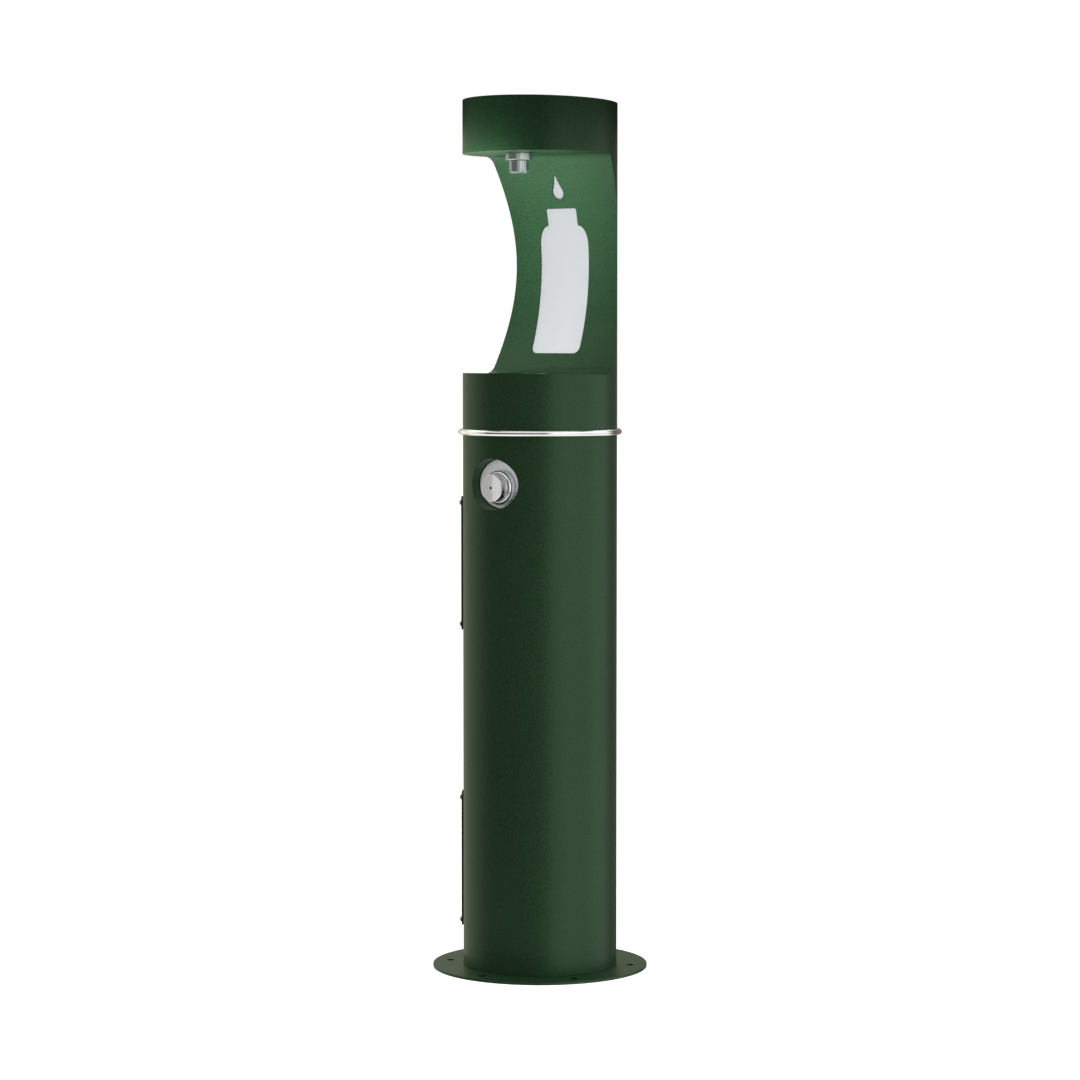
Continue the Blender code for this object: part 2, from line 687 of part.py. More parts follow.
def push_button(pivot):
    radius = BUTTON_RADIUS
    edge = BUTTON_EDGE
    bore = radius - BUTTON_WALL
    inside = BUTTON_FACE + BUTTON_FACE_THICKNESS
    rim = [(radius - edge + out, BUTTON_FACE + edge - depth)
           for out, depth in arc((0, 0), edge, math.pi / 2, 0, 2)]
    profile = [(0.0, BUTTON_FACE)] + rim
    profile += [(radius, BUTTON_REAR), (bore, BUTTON_REAR), (bore, inside), (0.0, inside)]
    part(front_turned(profile, BUTTON_HEIGHT, 32), "push_button", CHROME, pivot)

    stem = front_cylinder(STEM_RADIUS, inside + GAP, STEM_END, BUTTON_HEIGHT, 16)
    part(stem, "button_stem", STAINLESS, pivot)


def return_spring():
    coil = SPRING_RADIUS
    first = NECK_FRONT - GAP - SPRING_WIRE_RADIUS
    last = BUTTON_FACE + BUTTON_FACE_THICKNESS + GAP + SPRING_WIRE_RADIUS
    steps = 10 * SPRING_TURNS
    points = []
    for i in range(steps + 1):
        angle = 2 * math.pi * SPRING_TURNS * i / steps
        points.append((coil * math.cos(angle), first + (last - first) * i / steps,
                       BUTTON_HEIGHT + coil * math.sin(angle)))
    part(pipe(points, SPRING_WIRE_RADIUS, 1), "return_spring", STAINLESS)


def valve():
    behind = RECESS_FLOOR + RECESS_FLOOR_THICKNESS + GAP
    barrel = VALVE_BARREL_RADIUS
    shoulder = VALVE_SHOULDER_RADIUS
    shoulder_end = behind + VALVE_SHOULDER_LENGTH
    profile = [(0.0, VALVE_END), (barrel, VALVE_END), (barrel, shoulder_end), (shoulder, shoulder_end),
               (shoulder, behind), (NECK_RADIUS, behind), (NECK_RADIUS, NECK_FRONT),
               (VALVE_BORE_RADIUS, NECK_FRONT), (VALVE_BORE_RADIUS, VALVE_BORE_END),
               (0.0, VALVE_BORE_END)]
    body = front_turned(profile, BUTTON_HEIGHT, 20)
    for low, high in ((-INLET_PORT_LENGTH, -PORT_ROOT), (PORT_ROOT, OUTLET_PORT_LENGTH)):
        port = cylinder(PORT_RADIUS, BUTTON_HEIGHT + low, BUTTON_HEIGHT + high, 16)
        cut(body, move(port, (0, PORT_Y, 0)), "UNION")
    part(body, "push_valve_body", BRASS)

    top = BUTTON_HEIGHT - INLET_PORT_LENGTH - GAP
    inlet = hexagon(TUBE_NUT_ACROSS, TUBE_RADIUS + GAP, top - TUBE_NUT_HEIGHT, top)
    part(move(inlet, (0, PORT_Y, 0)), "valve_inlet_nut", BRASS)

    bottom = BUTTON_HEIGHT + OUTLET_PORT_LENGTH + GAP
    top = bottom + REGULATOR_LENGTH
    cap_top = bottom + 0.3 * REGULATOR_LENGTH
    neck = top - 0.1 * REGULATOR_LENGTH
    regulator = turned([(0.0, bottom), (REGULATOR_RADIUS, bottom), (REGULATOR_RADIUS, cap_top),
                        (REGULATOR_BODY_RADIUS, cap_top), (REGULATOR_BODY_RADIUS, neck),
                        (REGULATOR_END_RADIUS, top), (0.0, top)], 20)
    part(move(regulator, (0, PORT_Y, 0)), "flow_regulator", BLACK_PLASTIC)
    return top + GAP


# Spout, supply and drain.

def smooth_route(points, steps=6):
    """A smooth curve through hand-set points, Catmull-Rom."""
    ends = [points[0]] + list(points) + [points[-1]]
    ends = [Vector(point) for point in ends]
    route = []
    for a, b, c, d in zip(ends, ends[1:], ends[2:], ends[3:]):
        for i in range(steps):
            t = i / steps
            route.append(0.5 * (2 * b + (c - a) * t + (2 * a - 5 * b + 4 * c - d) * t ** 2
                                + (3 * b - a - 3 * c + d) * t ** 3))
    route.append(ends[-1])
    return route


def spout():
    seat = CEILING_HEIGHT - GAP
    bottom = seat - SPOUT_FLANGE_HEIGHT
    shank = SPOUT_SHANK_RADIUS
    flange = SPOUT_FLANGE_RADIUS
    edge = SPOUT_EDGE
    bore = SPOUT_BORE_RADIUS
    profile = [(flange, seat), (flange, bottom + edge), (flange - edge, bottom), (bore, bottom),
               (bore, SPOUT_SHANK_TOP), (shank, SPOUT_SHANK_TOP), (shank, seat)]
    part(move(turned(profile, 28), (0, SPOUT_Y, 0)), "spout_flange", CHROME)

    top = bottom - GAP
    low = top - SPOUT_NOZZLE_HEIGHT
    radius = SPOUT_NOZZLE_RADIUS
    bore = radius - SPOUT_WALL
    roof = top - SPOUT_WALL
    profile = [(0.0, top), (radius, top), (radius, low + edge), (radius - edge, low), (bore, low),
               (bore, roof), (0.0, roof)]
    part(move(turned(profile, 28), (0, SPOUT_Y, 0)), "spout_nozzle", CHROME)
    insert = cylinder(bore - GAP, low + edge, roof - GAP, 28)
    part(move(insert, (0, SPOUT_Y, 0)), "laminar_insert", BLACK_PLASTIC)

    ceiling = CEILING_HEIGHT + LINER_THICKNESS + GAP
    nut = hexagon(SPOUT_NUT_ACROSS, shank + GAP, ceiling, ceiling + SPOUT_NUT_HEIGHT)
    part(move(nut, (0, SPOUT_Y, 0)), "spout_locknut", BRASS)

    start = SPOUT_SHANK_TOP + GAP
    bend = arc((SPOUT_Y + ELBOW_BEND, start + ELBOW_RISE), ELBOW_BEND, math.pi, math.pi / 2, 6)
    rise = [(0, SPOUT_Y, start)] + [(0, y, z) for y, z in bend]
    end_y, end_z = bend[-1]
    rise.append((0, end_y + ELBOW_RUN, end_z))
    part(pipe(rise, ELBOW_RADIUS), "spout_elbow", BRASS)
    return Vector(rise[-1])


def upper_supply_tube(bottom, elbow_end):
    """From the regulator, past the drain, up behind the alcove and over to the spout."""
    behind_x = 0.050
    points = [(0, PORT_Y, bottom), (0, PORT_Y, bottom + 0.008),
              (0, PORT_Y, bottom + 0.018), (0.030, -0.050, 1.095),
              (0.052, 0.010, 1.118), (0.054, 0.080, 1.140), (behind_x, 0.116, 1.190),
              (behind_x, 0.122, 1.300), (behind_x, 0.122, 1.500), (behind_x, 0.112, 1.590),
              (0.038, 0.070, 1.644), (0.012, 0.010, 1.657),
              (0, elbow_end.y + 0.026, elbow_end.z), (0, elbow_end.y + 0.012, elbow_end.z),
              (0, elbow_end.y + GAP, elbow_end.z)]
    part(pipe(smooth_route(points, 3), TUBE_RADIUS, 1), "upper_supply_tube", TUBE_PLASTIC)


def drain():
    tilt = (-SHELF_TILT, 0, 0)
    place = (0, DRAIN_Y, shelf_at(DRAIN_Y))
    flange = DRAIN_FLANGE_RADIUS
    shank = DRAIN_SHANK_RADIUS
    bore = shank - DRAIN_SHANK_WALL
    foot = -DRAIN_SHANK_LENGTH
    profile = [(0.0, DRAIN_GRID_RISE), (shank, DRAIN_GRID_RISE), (flange - 0.002, DRAIN_FLANGE_RISE),
               (flange, GAP), (shank, GAP), (shank, foot), (bore, foot), (bore, DRAIN_GRID_DEPTH),
               (0.0, DRAIN_GRID_DEPTH)]
    strainer = turned(profile, 24)
    for i in range(6):
        angle = i * math.pi / 3
        hole = cylinder(DRAIN_HOLE_RADIUS, -OVERSHOOT, OVERSHOOT, 8)
        offset = Vector((DRAIN_HOLE_CIRCLE * math.cos(angle), DRAIN_HOLE_CIRCLE * math.sin(angle), 0))
        cut(strainer, move(hole, Vector(place) + offset))
    cut(strainer, move(cylinder(DRAIN_HOLE_RADIUS, -OVERSHOOT, OVERSHOOT, 8), place))
    part(move(strainer, place, tilt), "drain_strainer", STAINLESS)

    top = -LINER_THICKNESS - GAP
    bottom = top - DRAIN_GASKET_THICKNESS
    gasket = turned([(flange, top), (flange, bottom), (shank + GAP, bottom), (shank + GAP, top)], 32)
    part(move(gasket, place, tilt), "drain_gasket", RUBBER)
    top = bottom - GAP
    locknut = hexagon(DRAIN_NUT_ACROSS, shank + GAP, top - DRAIN_NUT_HEIGHT, top)
    part(move(locknut, place, tilt), "drain_locknut", BRASS)

    low, high = SLIP_NUT_SPAN
    slip = turned([(SLIP_NUT_RADIUS, high), (SLIP_NUT_RADIUS, low), (SLIP_NUT_BORE, low),
                   (SLIP_NUT_BORE, high)], 32)
    part(move(slip, (0, DRAIN_Y, 0)), "drain_slip_nut", BLACK_PLASTIC)
    pipe_wall = turned([(DRAIN_PIPE_RADIUS, DRAIN_PIPE_TOP), (DRAIN_PIPE_RADIUS, DRAIN_PIPE_BOTTOM),
                        (DRAIN_PIPE_BORE, DRAIN_PIPE_BOTTOM), (DRAIN_PIPE_BORE, DRAIN_PIPE_TOP)], 32)
    part(move(pipe_wall, (0, DRAIN_Y, 0)), "drain_pipe", PIPE_PLASTIC)


def inlet():
    """The nipple out of the slab and the quarter-turn stop's body."""
    place = (SUPPLY_X, 0, 0)
    top = STOP_BOTTOM - GAP
    nipple = turned([(NIPPLE_RADIUS, top), (NIPPLE_RADIUS, NIPPLE_BOTTOM), (NIPPLE_BORE, NIPPLE_BOTTOM),
                     (NIPPLE_BORE, top)], 24)
    part(move(nipple, place), "inlet_nipple", ZINC)

    ball = STOP_AXIS_HEIGHT
    outlet = STOP_OUTLET_RADIUS
    wide = STOP_BALL_RADIUS
    socket = STOP_SOCKET_RADIUS
    profile = [(0.0, STOP_TOP), (outlet, STOP_TOP), (outlet, ball + wide), (wide, ball + wide / 2),
               (wide, ball - wide / 2), (socket, ball - wide), (socket, STOP_BOTTOM), (0.0, STOP_BOTTOM)]
    body = move(turned(profile, 20), place)
    axis = (SUPPLY_X, 0, ball)
    boss = cylinder(STOP_BOSS_RADIUS, STOP_STEM_ROOT - OVERSHOOT / 2, STOP_BOSS_LENGTH, 14)
    cut(body, move(boss, axis, FACING_SIDE), "UNION")
    bore = cylinder(STOP_STEM_HOLE, STOP_STEM_ROOT, STOP_STEM_LENGTH, 16)
    cut(body, move(bore, axis, FACING_SIDE))
    part(body, "stop_valve_body", BRASS)

    nut = hexagon(TUBE_NUT_ACROSS, TUBE_RADIUS + GAP, STOP_TOP + GAP, STOP_TOP + TUBE_NUT_HEIGHT)
    part(move(nut, place), "stop_outlet_nut", BRASS)


def stop_lever(pivot):
    """The stop's stem, lever, grip and nut, which turn together on the stem's axis."""
    axis = (SUPPLY_X, 0, STOP_AXIS_HEIGHT)
    stem = cylinder(STOP_STEM_RADIUS, STOP_STEM_ROOT + GAP, STOP_STEM_LENGTH, 16)
    part(move(stem, axis, FACING_SIDE), "stop_valve_stem", STAINLESS, pivot)

    left = LEVER_X
    right = LEVER_X + LEVER_THICKNESS
    half = LEVER_HALF_WIDTH
    foot = STOP_AXIS_HEIGHT - LEVER_TAIL
    tip = STOP_AXIS_HEIGHT + LEVER_LENGTH
    lever = box((left, -half, foot), (right, half, tip), half - 2 * GAP)
    hole = cylinder(STOP_STEM_HOLE, SUPPLY_X - right - OVERSHOOT, SUPPLY_X - left + OVERSHOOT, 16)
    cut(lever, move(hole, axis, FACING_SIDE))
    part(lever, "stop_valve_lever", ZINC, pivot)

    wall = GRIP_WALL
    start = STOP_AXIS_HEIGHT + GRIP_START
    grip_tip = tip + 2 * wall
    grip = box((left - wall, -half - wall, start), (right + wall, half + wall, grip_tip), half - wall / 2)
    pocket = box((left - GAP, -half - GAP, start - OVERSHOOT), (right + GAP, half + GAP, tip + GAP))
    cut(grip, pocket)
    part(grip, "stop_lever_grip", GRIP_VINYL, pivot)

    low = SUPPLY_X - left + GAP
    nut = hexagon(LEVER_NUT_ACROSS, STOP_STEM_HOLE, low, low + LEVER_NUT_HEIGHT)
    part(move(nut, axis, FACING_SIDE), "stop_lever_nut", ZINC, pivot)


def supply_line():
    """Lower tube, in-line strainer behind the upper panel, and the tube on to the push valve."""
    low, high = LINE_STRAINER_SPAN
    low_tube = pipe([(SUPPLY_X, 0, STOP_TOP + GAP), (SUPPLY_X, 0, low - GAP)], TUBE_RADIUS, 2)
    part(low_tube, "lower_supply_tube", TUBE_PLASTIC)
    body = LINE_STRAINER_RADIUS
    end = LINE_STRAINER_END_RADIUS
    taper = (high - low) / 4
    profile = [(0.0, low), (end, low), (body, low + taper), (body, high - taper), (end, high), (0.0, high)]
    part(move(turned(profile, 24), (SUPPLY_X, 0, 0)), "line_strainer", BRASS)
    port = BUTTON_HEIGHT - INLET_PORT_LENGTH - GAP
    points = [(SUPPLY_X, 0, high + GAP), (SUPPLY_X, 0, 0.831), (SUPPLY_X, 0, 0.839),
              (-0.046, -0.022, 0.858), (-0.014, -0.066, 0.872), (0, PORT_Y, 0.892),
              (0, PORT_Y, 0.904), (0, PORT_Y, port)]
    part(pipe(smooth_route(points, 3), TUBE_RADIUS, 1), "valve_supply_tube", TUBE_PLASTIC)


def shade(item):
    """Smooth shading that keeps the real edges."""
    if item.type == "MESH":
        item.data.shade_smooth()
        item.data.set_sharp_from_angle(angle=math.radians(35))


clear_scene()
PARTS = new_collection("drinking_fountain")
CUTTERS = new_collection("cutters", hidden=True)

base_flange()
pedestal_tube()
joint()
head_tube()
alcove_liner()
graphic_backing()
top_cap()
for panel_level, (panel_low, panel_high) in PANEL_SPANS.items():
    access_panel(panel_level, panel_low, panel_high)
recess()
push_button(pivot_empty("button_axis", (0, BUTTON_FACE, BUTTON_HEIGHT)))
return_spring()
regulator_top = valve()
elbow_tip = spout()
upper_supply_tube(regulator_top, elbow_tip)
drain()
inlet()
stop_lever(pivot_empty("lever_axis", (SUPPLY_X, 0, STOP_AXIS_HEIGHT)))
supply_line()
for piece in PARTS.objects:
    shade(piece)
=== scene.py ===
"""Looks of the pedestal bottle-filling fountain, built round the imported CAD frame.

Metres, +Z up, the front faces -Y. The access panels are on the -X side.
"""
import json
import math

import bmesh
import bpy
from mathutils import Matrix, Vector


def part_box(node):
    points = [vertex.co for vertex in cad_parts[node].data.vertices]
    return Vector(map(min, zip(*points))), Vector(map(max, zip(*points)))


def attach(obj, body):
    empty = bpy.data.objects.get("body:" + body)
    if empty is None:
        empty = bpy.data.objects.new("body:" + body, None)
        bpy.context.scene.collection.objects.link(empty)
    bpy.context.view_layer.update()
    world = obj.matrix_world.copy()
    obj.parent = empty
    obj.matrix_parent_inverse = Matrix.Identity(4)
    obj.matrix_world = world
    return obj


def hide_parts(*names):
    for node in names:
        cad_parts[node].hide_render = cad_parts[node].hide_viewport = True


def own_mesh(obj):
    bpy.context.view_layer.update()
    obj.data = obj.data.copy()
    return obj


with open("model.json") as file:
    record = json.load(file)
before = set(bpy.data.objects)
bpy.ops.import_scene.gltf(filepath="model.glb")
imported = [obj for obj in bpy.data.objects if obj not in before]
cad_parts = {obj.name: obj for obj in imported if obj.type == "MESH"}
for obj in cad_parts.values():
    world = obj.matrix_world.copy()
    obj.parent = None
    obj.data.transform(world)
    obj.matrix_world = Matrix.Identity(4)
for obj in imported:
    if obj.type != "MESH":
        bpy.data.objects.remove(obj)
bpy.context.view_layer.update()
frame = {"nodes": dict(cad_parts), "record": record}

MM = 0.001

# Steps round the column, and turns that lay a solid's Z axis along -Y or +X.
SKIN_SEGMENTS = 180
TO_FRONT = (math.pi / 2, 0, 0)
TO_SIDE = (math.pi / 2, 0, math.pi / 2)

# Powder coat.
PAINT_DARK = (0.0145, 0.0455, 0.0200)
PAINT_LIGHT = (0.0275, 0.0830, 0.0360)
PAINT_SHEEN = (0.62, 0.76, 0.56, 1.0)
COAT_WEIGHT = 0.22

# Sizes read from the frame.
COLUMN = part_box("pedestal_tube")
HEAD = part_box("head_tube")
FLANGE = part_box("base_flange")
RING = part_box("trim_ring")
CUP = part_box("button_recess_cup")
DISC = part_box("escutcheon_disc")
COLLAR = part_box("button_collar")
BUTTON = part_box("push_button")
SPOUT_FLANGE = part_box("spout_flange")
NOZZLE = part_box("spout_nozzle")

RADIUS = COLUMN[1].x
WALL = 3.4 * MM
BORE = RADIUS - WALL
RING_HEIGHT = (RING[0].z + RING[1].z) / 2
RING_ROD = (RING[1].z - RING[0].z) / 2
CUP_WALL = 1.5 * MM
RECESS_HEIGHT = (CUP[0].z + CUP[1].z) / 2
RECESS_HALF_WIDTH = CUP[1].x - CUP_WALL
RECESS_HALF_HEIGHT = (CUP[1].z - CUP[0].z) / 2 - CUP_WALL
RECESS_FLOOR = CUP[1].y - 2 * MM
NECK_HOLE = 12.6 * MM
BUTTON_HEIGHT = (BUTTON[0].z + BUTTON[1].z) / 2
SPOUT_Y = (NOZZLE[0].y + NOZZLE[1].y) / 2

# The alcove's side profile, the same as the CAD's.
CEILING = 1608.4 * MM
SHELF = 1177.1 * MM
SHELF_TILT = math.radians(0.95)
BACK_RADIUS = 467 * MM
BACK_HEIGHT = 1391.3 * MM
BACK_DEPTH = 84.8 * MM
FILLET = 25 * MM
SHEET = 3 * MM
WINDOW_X = -4.5 * MM

TOP_HEIGHT = 1709.7 * MM
TOP_TILT = math.radians(1.96)
CAP_RISE = 8 * MM

# The tilted solid under the top, wide enough to hold the whole tube at its lower end.
CROWN_REACH = 200 * MM
CROWN_DEPTH = 0.75
CAVITY_DEPTH = 0.8
HEAD_STOCK_TOP = 1.76

# The cutters of the head's windows and holes.
WINDOW_CUT = 0.16
WINDOW_CUT_Y = 0.03
DRAIN_HOLE = 16.3 * MM
SPOUT_HOLE = 10 * MM

PANELS = {"upper": (669 * MM, 935 * MM), "lower": (78 * MM, 348 * MM)}
PANEL_HALF_WIDTH = 96 * MM
PANEL_OUTER = 156.3 * MM
PANEL_INNER = 154.3 * MM
SCREW_INSET = 12.5 * MM
SCREW_ANGLE = math.radians(34.5)

ANCHOR_COUNT = 6
ANCHOR_CIRCLE = 181 * MM
ANCHOR_RADIUS = 7.15 * MM
FLANGE_OPENING = 110 * MM

DRAIN_Y = -12 * MM
SPRING_TURNS = 5

CAMERA_AZIMUTH = math.radians(38.3)
CAMERA_DISTANCE = 6.595
CAMERA_HEIGHT = 1.2577
CAMERA_PITCH = math.radians(3.55)
CAMERA_LENS = 111.3

# Cards that the button's chrome mirrors.
CARD_DISTANCE = 1.2
CARD_FALL = -0.045
CARD_SIZE = (0.5, 0.9)

# Shade round the head, above the alcove.
FLAG_RADIUS = 0.55
FLAG_BOTTOM = 1.675
FLAG_TOP = 2.0

# Cards that one chrome piece mirrors.
MIRROR_DISTANCE = 1.3
RING_CARD_BEARING = math.radians(-112)
RING_CARD_SIZE = (1.6, 1.0)
RING_CARD_GLOW = 0.35


# ---------------------------------------------------------------- materials

class NodeTree:
    """Helpers for the nodes of a material or a world, which sets self.tree."""

    def feed(self, socket, value):
        if isinstance(value, bpy.types.NodeSocket):
            self.tree.links.new(value, socket)
        else:
            socket.default_value = value

    def maths(self, operation, first, second=0.0):
        made = self.tree.nodes.new("ShaderNodeMath")
        made.operation = operation
        self.feed(made.inputs[0], first)
        self.feed(made.inputs[1], second)
        return made.outputs[0]


class Shader(NodeTree):
    """A Principled material with short helpers for its textures."""

    def __init__(self, name, colour, roughness, metallic=0.0, **sockets):
        self.material = bpy.data.materials.new(name)
        self.material.use_nodes = True
        self.tree = self.material.node_tree
        self.bsdf = self.tree.nodes["Principled BSDF"]
        self.set("Base Color", (*colour, 1.0))
        self.set("Roughness", roughness)
        self.set("Metallic", metallic)
        for socket, value in sockets.items():
            self.set(socket.replace("_", " "), value)
        coordinates = self.node("ShaderNodeTexCoord")
        self.place = coordinates.outputs["Object"]

    def set(self, socket, value):
        self.bsdf.inputs[socket].default_value = value

    def node(self, kind, **inputs):
        made = self.tree.nodes.new(kind)
        for name, value in inputs.items():
            self.feed(made.inputs[name.replace("_", " ")], value)
        return made

    def bore_shade_mask(self):
        """Mask of the painted shade in the flange's anchor holes: 1 on upright faces between the column's
        foot and the flange's rim.
        """
        geometry = self.node("ShaderNodeNewGeometry")
        upright = self.node("ShaderNodeSeparateXYZ", Vector=geometry.outputs["True Normal"])
        flat = self.maths("ABSOLUTE", upright.outputs["Z"])
        place = self.node("ShaderNodeSeparateXYZ", Vector=self.place)
        across = self.maths("MULTIPLY", place.outputs["X"], place.outputs["X"])
        along = self.maths("MULTIPLY", place.outputs["Y"], place.outputs["Y"])
        reach = self.maths("ADD", across, along)
        beyond = self.maths("GREATER_THAN", reach, (RADIUS + 10 * MM) ** 2)
        within = self.maths("LESS_THAN", reach, (FLANGE[1].x - 10 * MM) ** 2)
        ring = self.maths("MULTIPLY", beyond, within)
        return self.maths("MULTIPLY", ring, self.maths("LESS_THAN", flat, 0.8))

    def stretch(self, scale):
        return self.node("ShaderNodeMapping", Vector=self.place, Scale=scale).outputs["Vector"]

    def noise(self, scale, detail=2.0, roughness=0.5, vector=None):
        made = self.node("ShaderNodeTexNoise", Vector=vector or self.place, Scale=scale, Detail=detail,
                         Roughness=roughness)
        return made.outputs["Fac"]

    def ramp(self, factor, low, high, low_value, high_value):
        """Map factor from low..high to low_value..high_value, clamped."""
        made = self.node("ShaderNodeMapRange", Value=factor, From_Min=low, From_Max=high,
                         To_Min=low_value, To_Max=high_value)
        return made.outputs["Result"]

    def blend(self, factor, first, second):
        made = self.tree.nodes.new("ShaderNodeMix")
        made.data_type = "RGBA"
        self.feed(made.inputs[0], factor)
        self.feed(made.inputs[6], (*first, 1.0))
        self.feed(made.inputs[7], (*second, 1.0))
        return made.outputs[2]

    def bump(self, height, distance, strength=1.0, normal=None):
        made = self.node("ShaderNodeBump", Height=height, Distance=distance, Strength=strength)
        if normal is not None:
            self.feed(made.inputs["Normal"], normal)
        return made.outputs["Normal"]

    def link(self, socket, value):
        self.feed(self.bsdf.inputs[socket], value)


def powder_coat(name="evergreen_powder_coat", shade_bores=False):
    """Dark evergreen powder coat: a fine sandy texture over an orange peel.

    When asked, the walls of the flange's anchor holes get painted shade: a near-black colour with no coat and
    no specular.
    """
    s = Shader(name, PAINT_LIGHT, 0.40, 0.5, Specular_Tint=PAINT_SHEEN, Coat_Weight=COAT_WEIGHT,
               Coat_Roughness=0.33)
    cloud = s.noise(3.0, 3.0)
    grain = s.noise(340.0, 3.0, 0.65)
    peel = s.noise(260.0, 2.0, 0.5)
    tone = s.maths("ADD", s.ramp(cloud, 0.3, 0.7, 0.0, 0.3), s.ramp(grain, 0.36, 0.66, 0.0, 0.7))
    colour = s.blend(tone, PAINT_DARK, PAINT_LIGHT)
    if shade_bores:
        # Painted shade: the anchor holes' walls turn near-black and lose their coat and specular reflection.
        inside = s.bore_shade_mask()
        mix = s.blend(inside, PAINT_LIGHT, (0.002, 0.003, 0.002))
        s.feed(mix.node.inputs[6], colour)
        colour = mix
        s.link("Coat Weight", s.ramp(inside, 0.0, 1.0, COAT_WEIGHT, 0.0))
        s.link("Specular IOR Level", s.ramp(inside, 0.0, 1.0, 0.5, 0.0))
    s.link("Base Color", colour)
    s.link("Roughness", s.ramp(grain, 0.3, 0.7, 0.34, 0.46))
    fine = s.bump(grain, 0.14 * MM, 0.6)
    skin = s.bump(peel, 0.40 * MM, 0.65, fine)
    s.link("Normal", skin)
    s.link("Coat Normal", skin)
    return s.material


def bright_chrome(name="bright_chrome", shade=0.83, polish=0.09):
    """Polished chrome with faint wipe marks."""
    s = Shader(name, (shade - 0.01, shade, shade + 0.01), polish, 1.0)
    smear = s.noise(14.0, 4.0, 0.6)
    s.link("Roughness", s.ramp(smear, 0.35, 0.7, polish * 0.6, polish * 1.45))
    s.link("Normal", s.bump(s.noise(60.0, 1.0), 0.05 * MM, 0.08))
    return s.material


def spout_chrome():
    """Softer, slightly grey chrome of the spout fitting, with a painted cyan-green tint that offsets the warm
    light it reflects.
    """
    s = Shader("spout_chrome", (0.52, 0.59, 0.58), 0.26, 0.85)
    smear = s.noise(30.0, 3.0, 0.6)
    s.link("Roughness", s.ramp(smear, 0.35, 0.7, 0.22, 0.32))
    s.link("Normal", s.bump(s.noise(300.0, 2.0), 0.03 * MM, 0.2))
    return s.material


def satin_chrome():
    """Pale satin disc with a fine brushed grain."""
    s = Shader("satin_chrome", (0.62, 0.63, 0.65), 0.48, 0.35)
    lines = s.noise(900.0, 2.0, 0.5, s.stretch((0.06, 1.0, 1.0)))
    s.link("Roughness", s.ramp(lines, 0.3, 0.7, 0.42, 0.55))
    s.link("Normal", s.bump(lines, 0.02 * MM, 0.2))
    return s.material


def satin_steel(name, colour, roughness):
    """Brushed plated or stainless steel, brushed along its Z axis."""
    s = Shader(name, colour, roughness, 1.0)
    lines = s.noise(700.0, 3.0, 0.6, s.stretch((1.0, 1.0, 0.08)))
    blotch = s.noise(25.0, 3.0)
    s.link("Base Color", s.blend(blotch, [c * 0.88 for c in colour], colour))
    s.link("Roughness", s.ramp(lines, 0.3, 0.7, roughness * 0.8, roughness * 1.3))
    s.link("Normal", s.bump(lines, 0.03 * MM, 0.3))
    return s.material


def yellow_brass():
    """Low-lead brass with patches of tarnish."""
    s = Shader("low_lead_brass", (0.72, 0.52, 0.24), 0.30, 1.0)
    tarnish = s.noise(45.0, 4.0, 0.65)
    s.link("Base Color", s.blend(s.ramp(tarnish, 0.4, 0.75, 0.0, 1.0), (0.72, 0.52, 0.24),
                                 (0.42, 0.28, 0.13)))
    s.link("Roughness", s.ramp(tarnish, 0.3, 0.8, 0.22, 0.45))
    s.link("Normal", s.bump(s.noise(900.0, 2.0), 0.04 * MM, 0.3))
    return s.material


def grey_panel():
    """Light grey satin plate behind the bottle-shaped window."""
    s = Shader("light_grey_panel", (0.41, 0.43, 0.45), 0.38)
    s.set("Coat Weight", 0.25)
    s.set("Coat Roughness", 0.2)
    mottle = s.noise(30.0, 3.0)
    s.link("Base Color", s.blend(mottle, (0.40, 0.42, 0.435), (0.43, 0.45, 0.465)))
    s.link("Roughness", s.ramp(s.noise(500.0, 2.0), 0.3, 0.7, 0.33, 0.44))
    s.link("Normal", s.bump(s.noise(420.0, 2.0), 0.03 * MM, 0.25))
    return s.material


def moulded(name, colour, roughness, grain=700.0, depth=0.06):
    """Moulded plastic or rubber, its surface grain depth given in millimetres."""
    s = Shader(name, colour, roughness)
    texture = s.noise(grain, 2.0, 0.5)
    s.link("Base Color", s.blend(s.noise(40.0, 2.0), [c * 0.85 for c in colour], colour))
    s.link("Roughness", s.ramp(texture, 0.3, 0.7, roughness * 0.85, min(1.0, roughness * 1.15)))
    s.link("Normal", s.bump(texture, depth * MM, 0.4))
    return s.material


def floor_paint():
    """Matt white studio floor that glows a little, so that it reads as white."""
    s = Shader("studio_floor", (0.90, 0.90, 0.90), 0.85, Emission_Color=(1.0, 1.0, 1.0, 1.0),
               Emission_Strength=0.72)
    s.link("Roughness", s.ramp(s.noise(2.0, 2.0), 0.3, 0.7, 0.82, 0.9))
    return s.material


# ---------------------------------------------------------------- mesh tools

def from_bmesh(bm, name):
    mesh = bpy.data.meshes.new(name)
    bm.to_mesh(mesh)
    bm.free()
    return new_object(name, mesh)


def new_object(name, data):
    item = bpy.data.objects.new(name, data)
    bpy.context.scene.collection.objects.link(item)
    return item


def cylinder(radius, low, high, segments=64, middle=(0, 0, 0), rotation=(0, 0, 0), stretch=1.0):
    """A closed cylinder, or with stretch an oval one that is wider along its own X."""
    bm = bmesh.new()
    place = Matrix.Translation((0, 0, (low + high) / 2)) @ Matrix.Diagonal((stretch, 1.0, 1.0, 1.0))
    bmesh.ops.create_cone(bm, cap_ends=True, segments=segments, radius1=radius, radius2=radius,
                          depth=high - low, matrix=place)
    item = from_bmesh(bm, "cylinder")
    item.location = middle
    item.rotation_euler = rotation
    return item


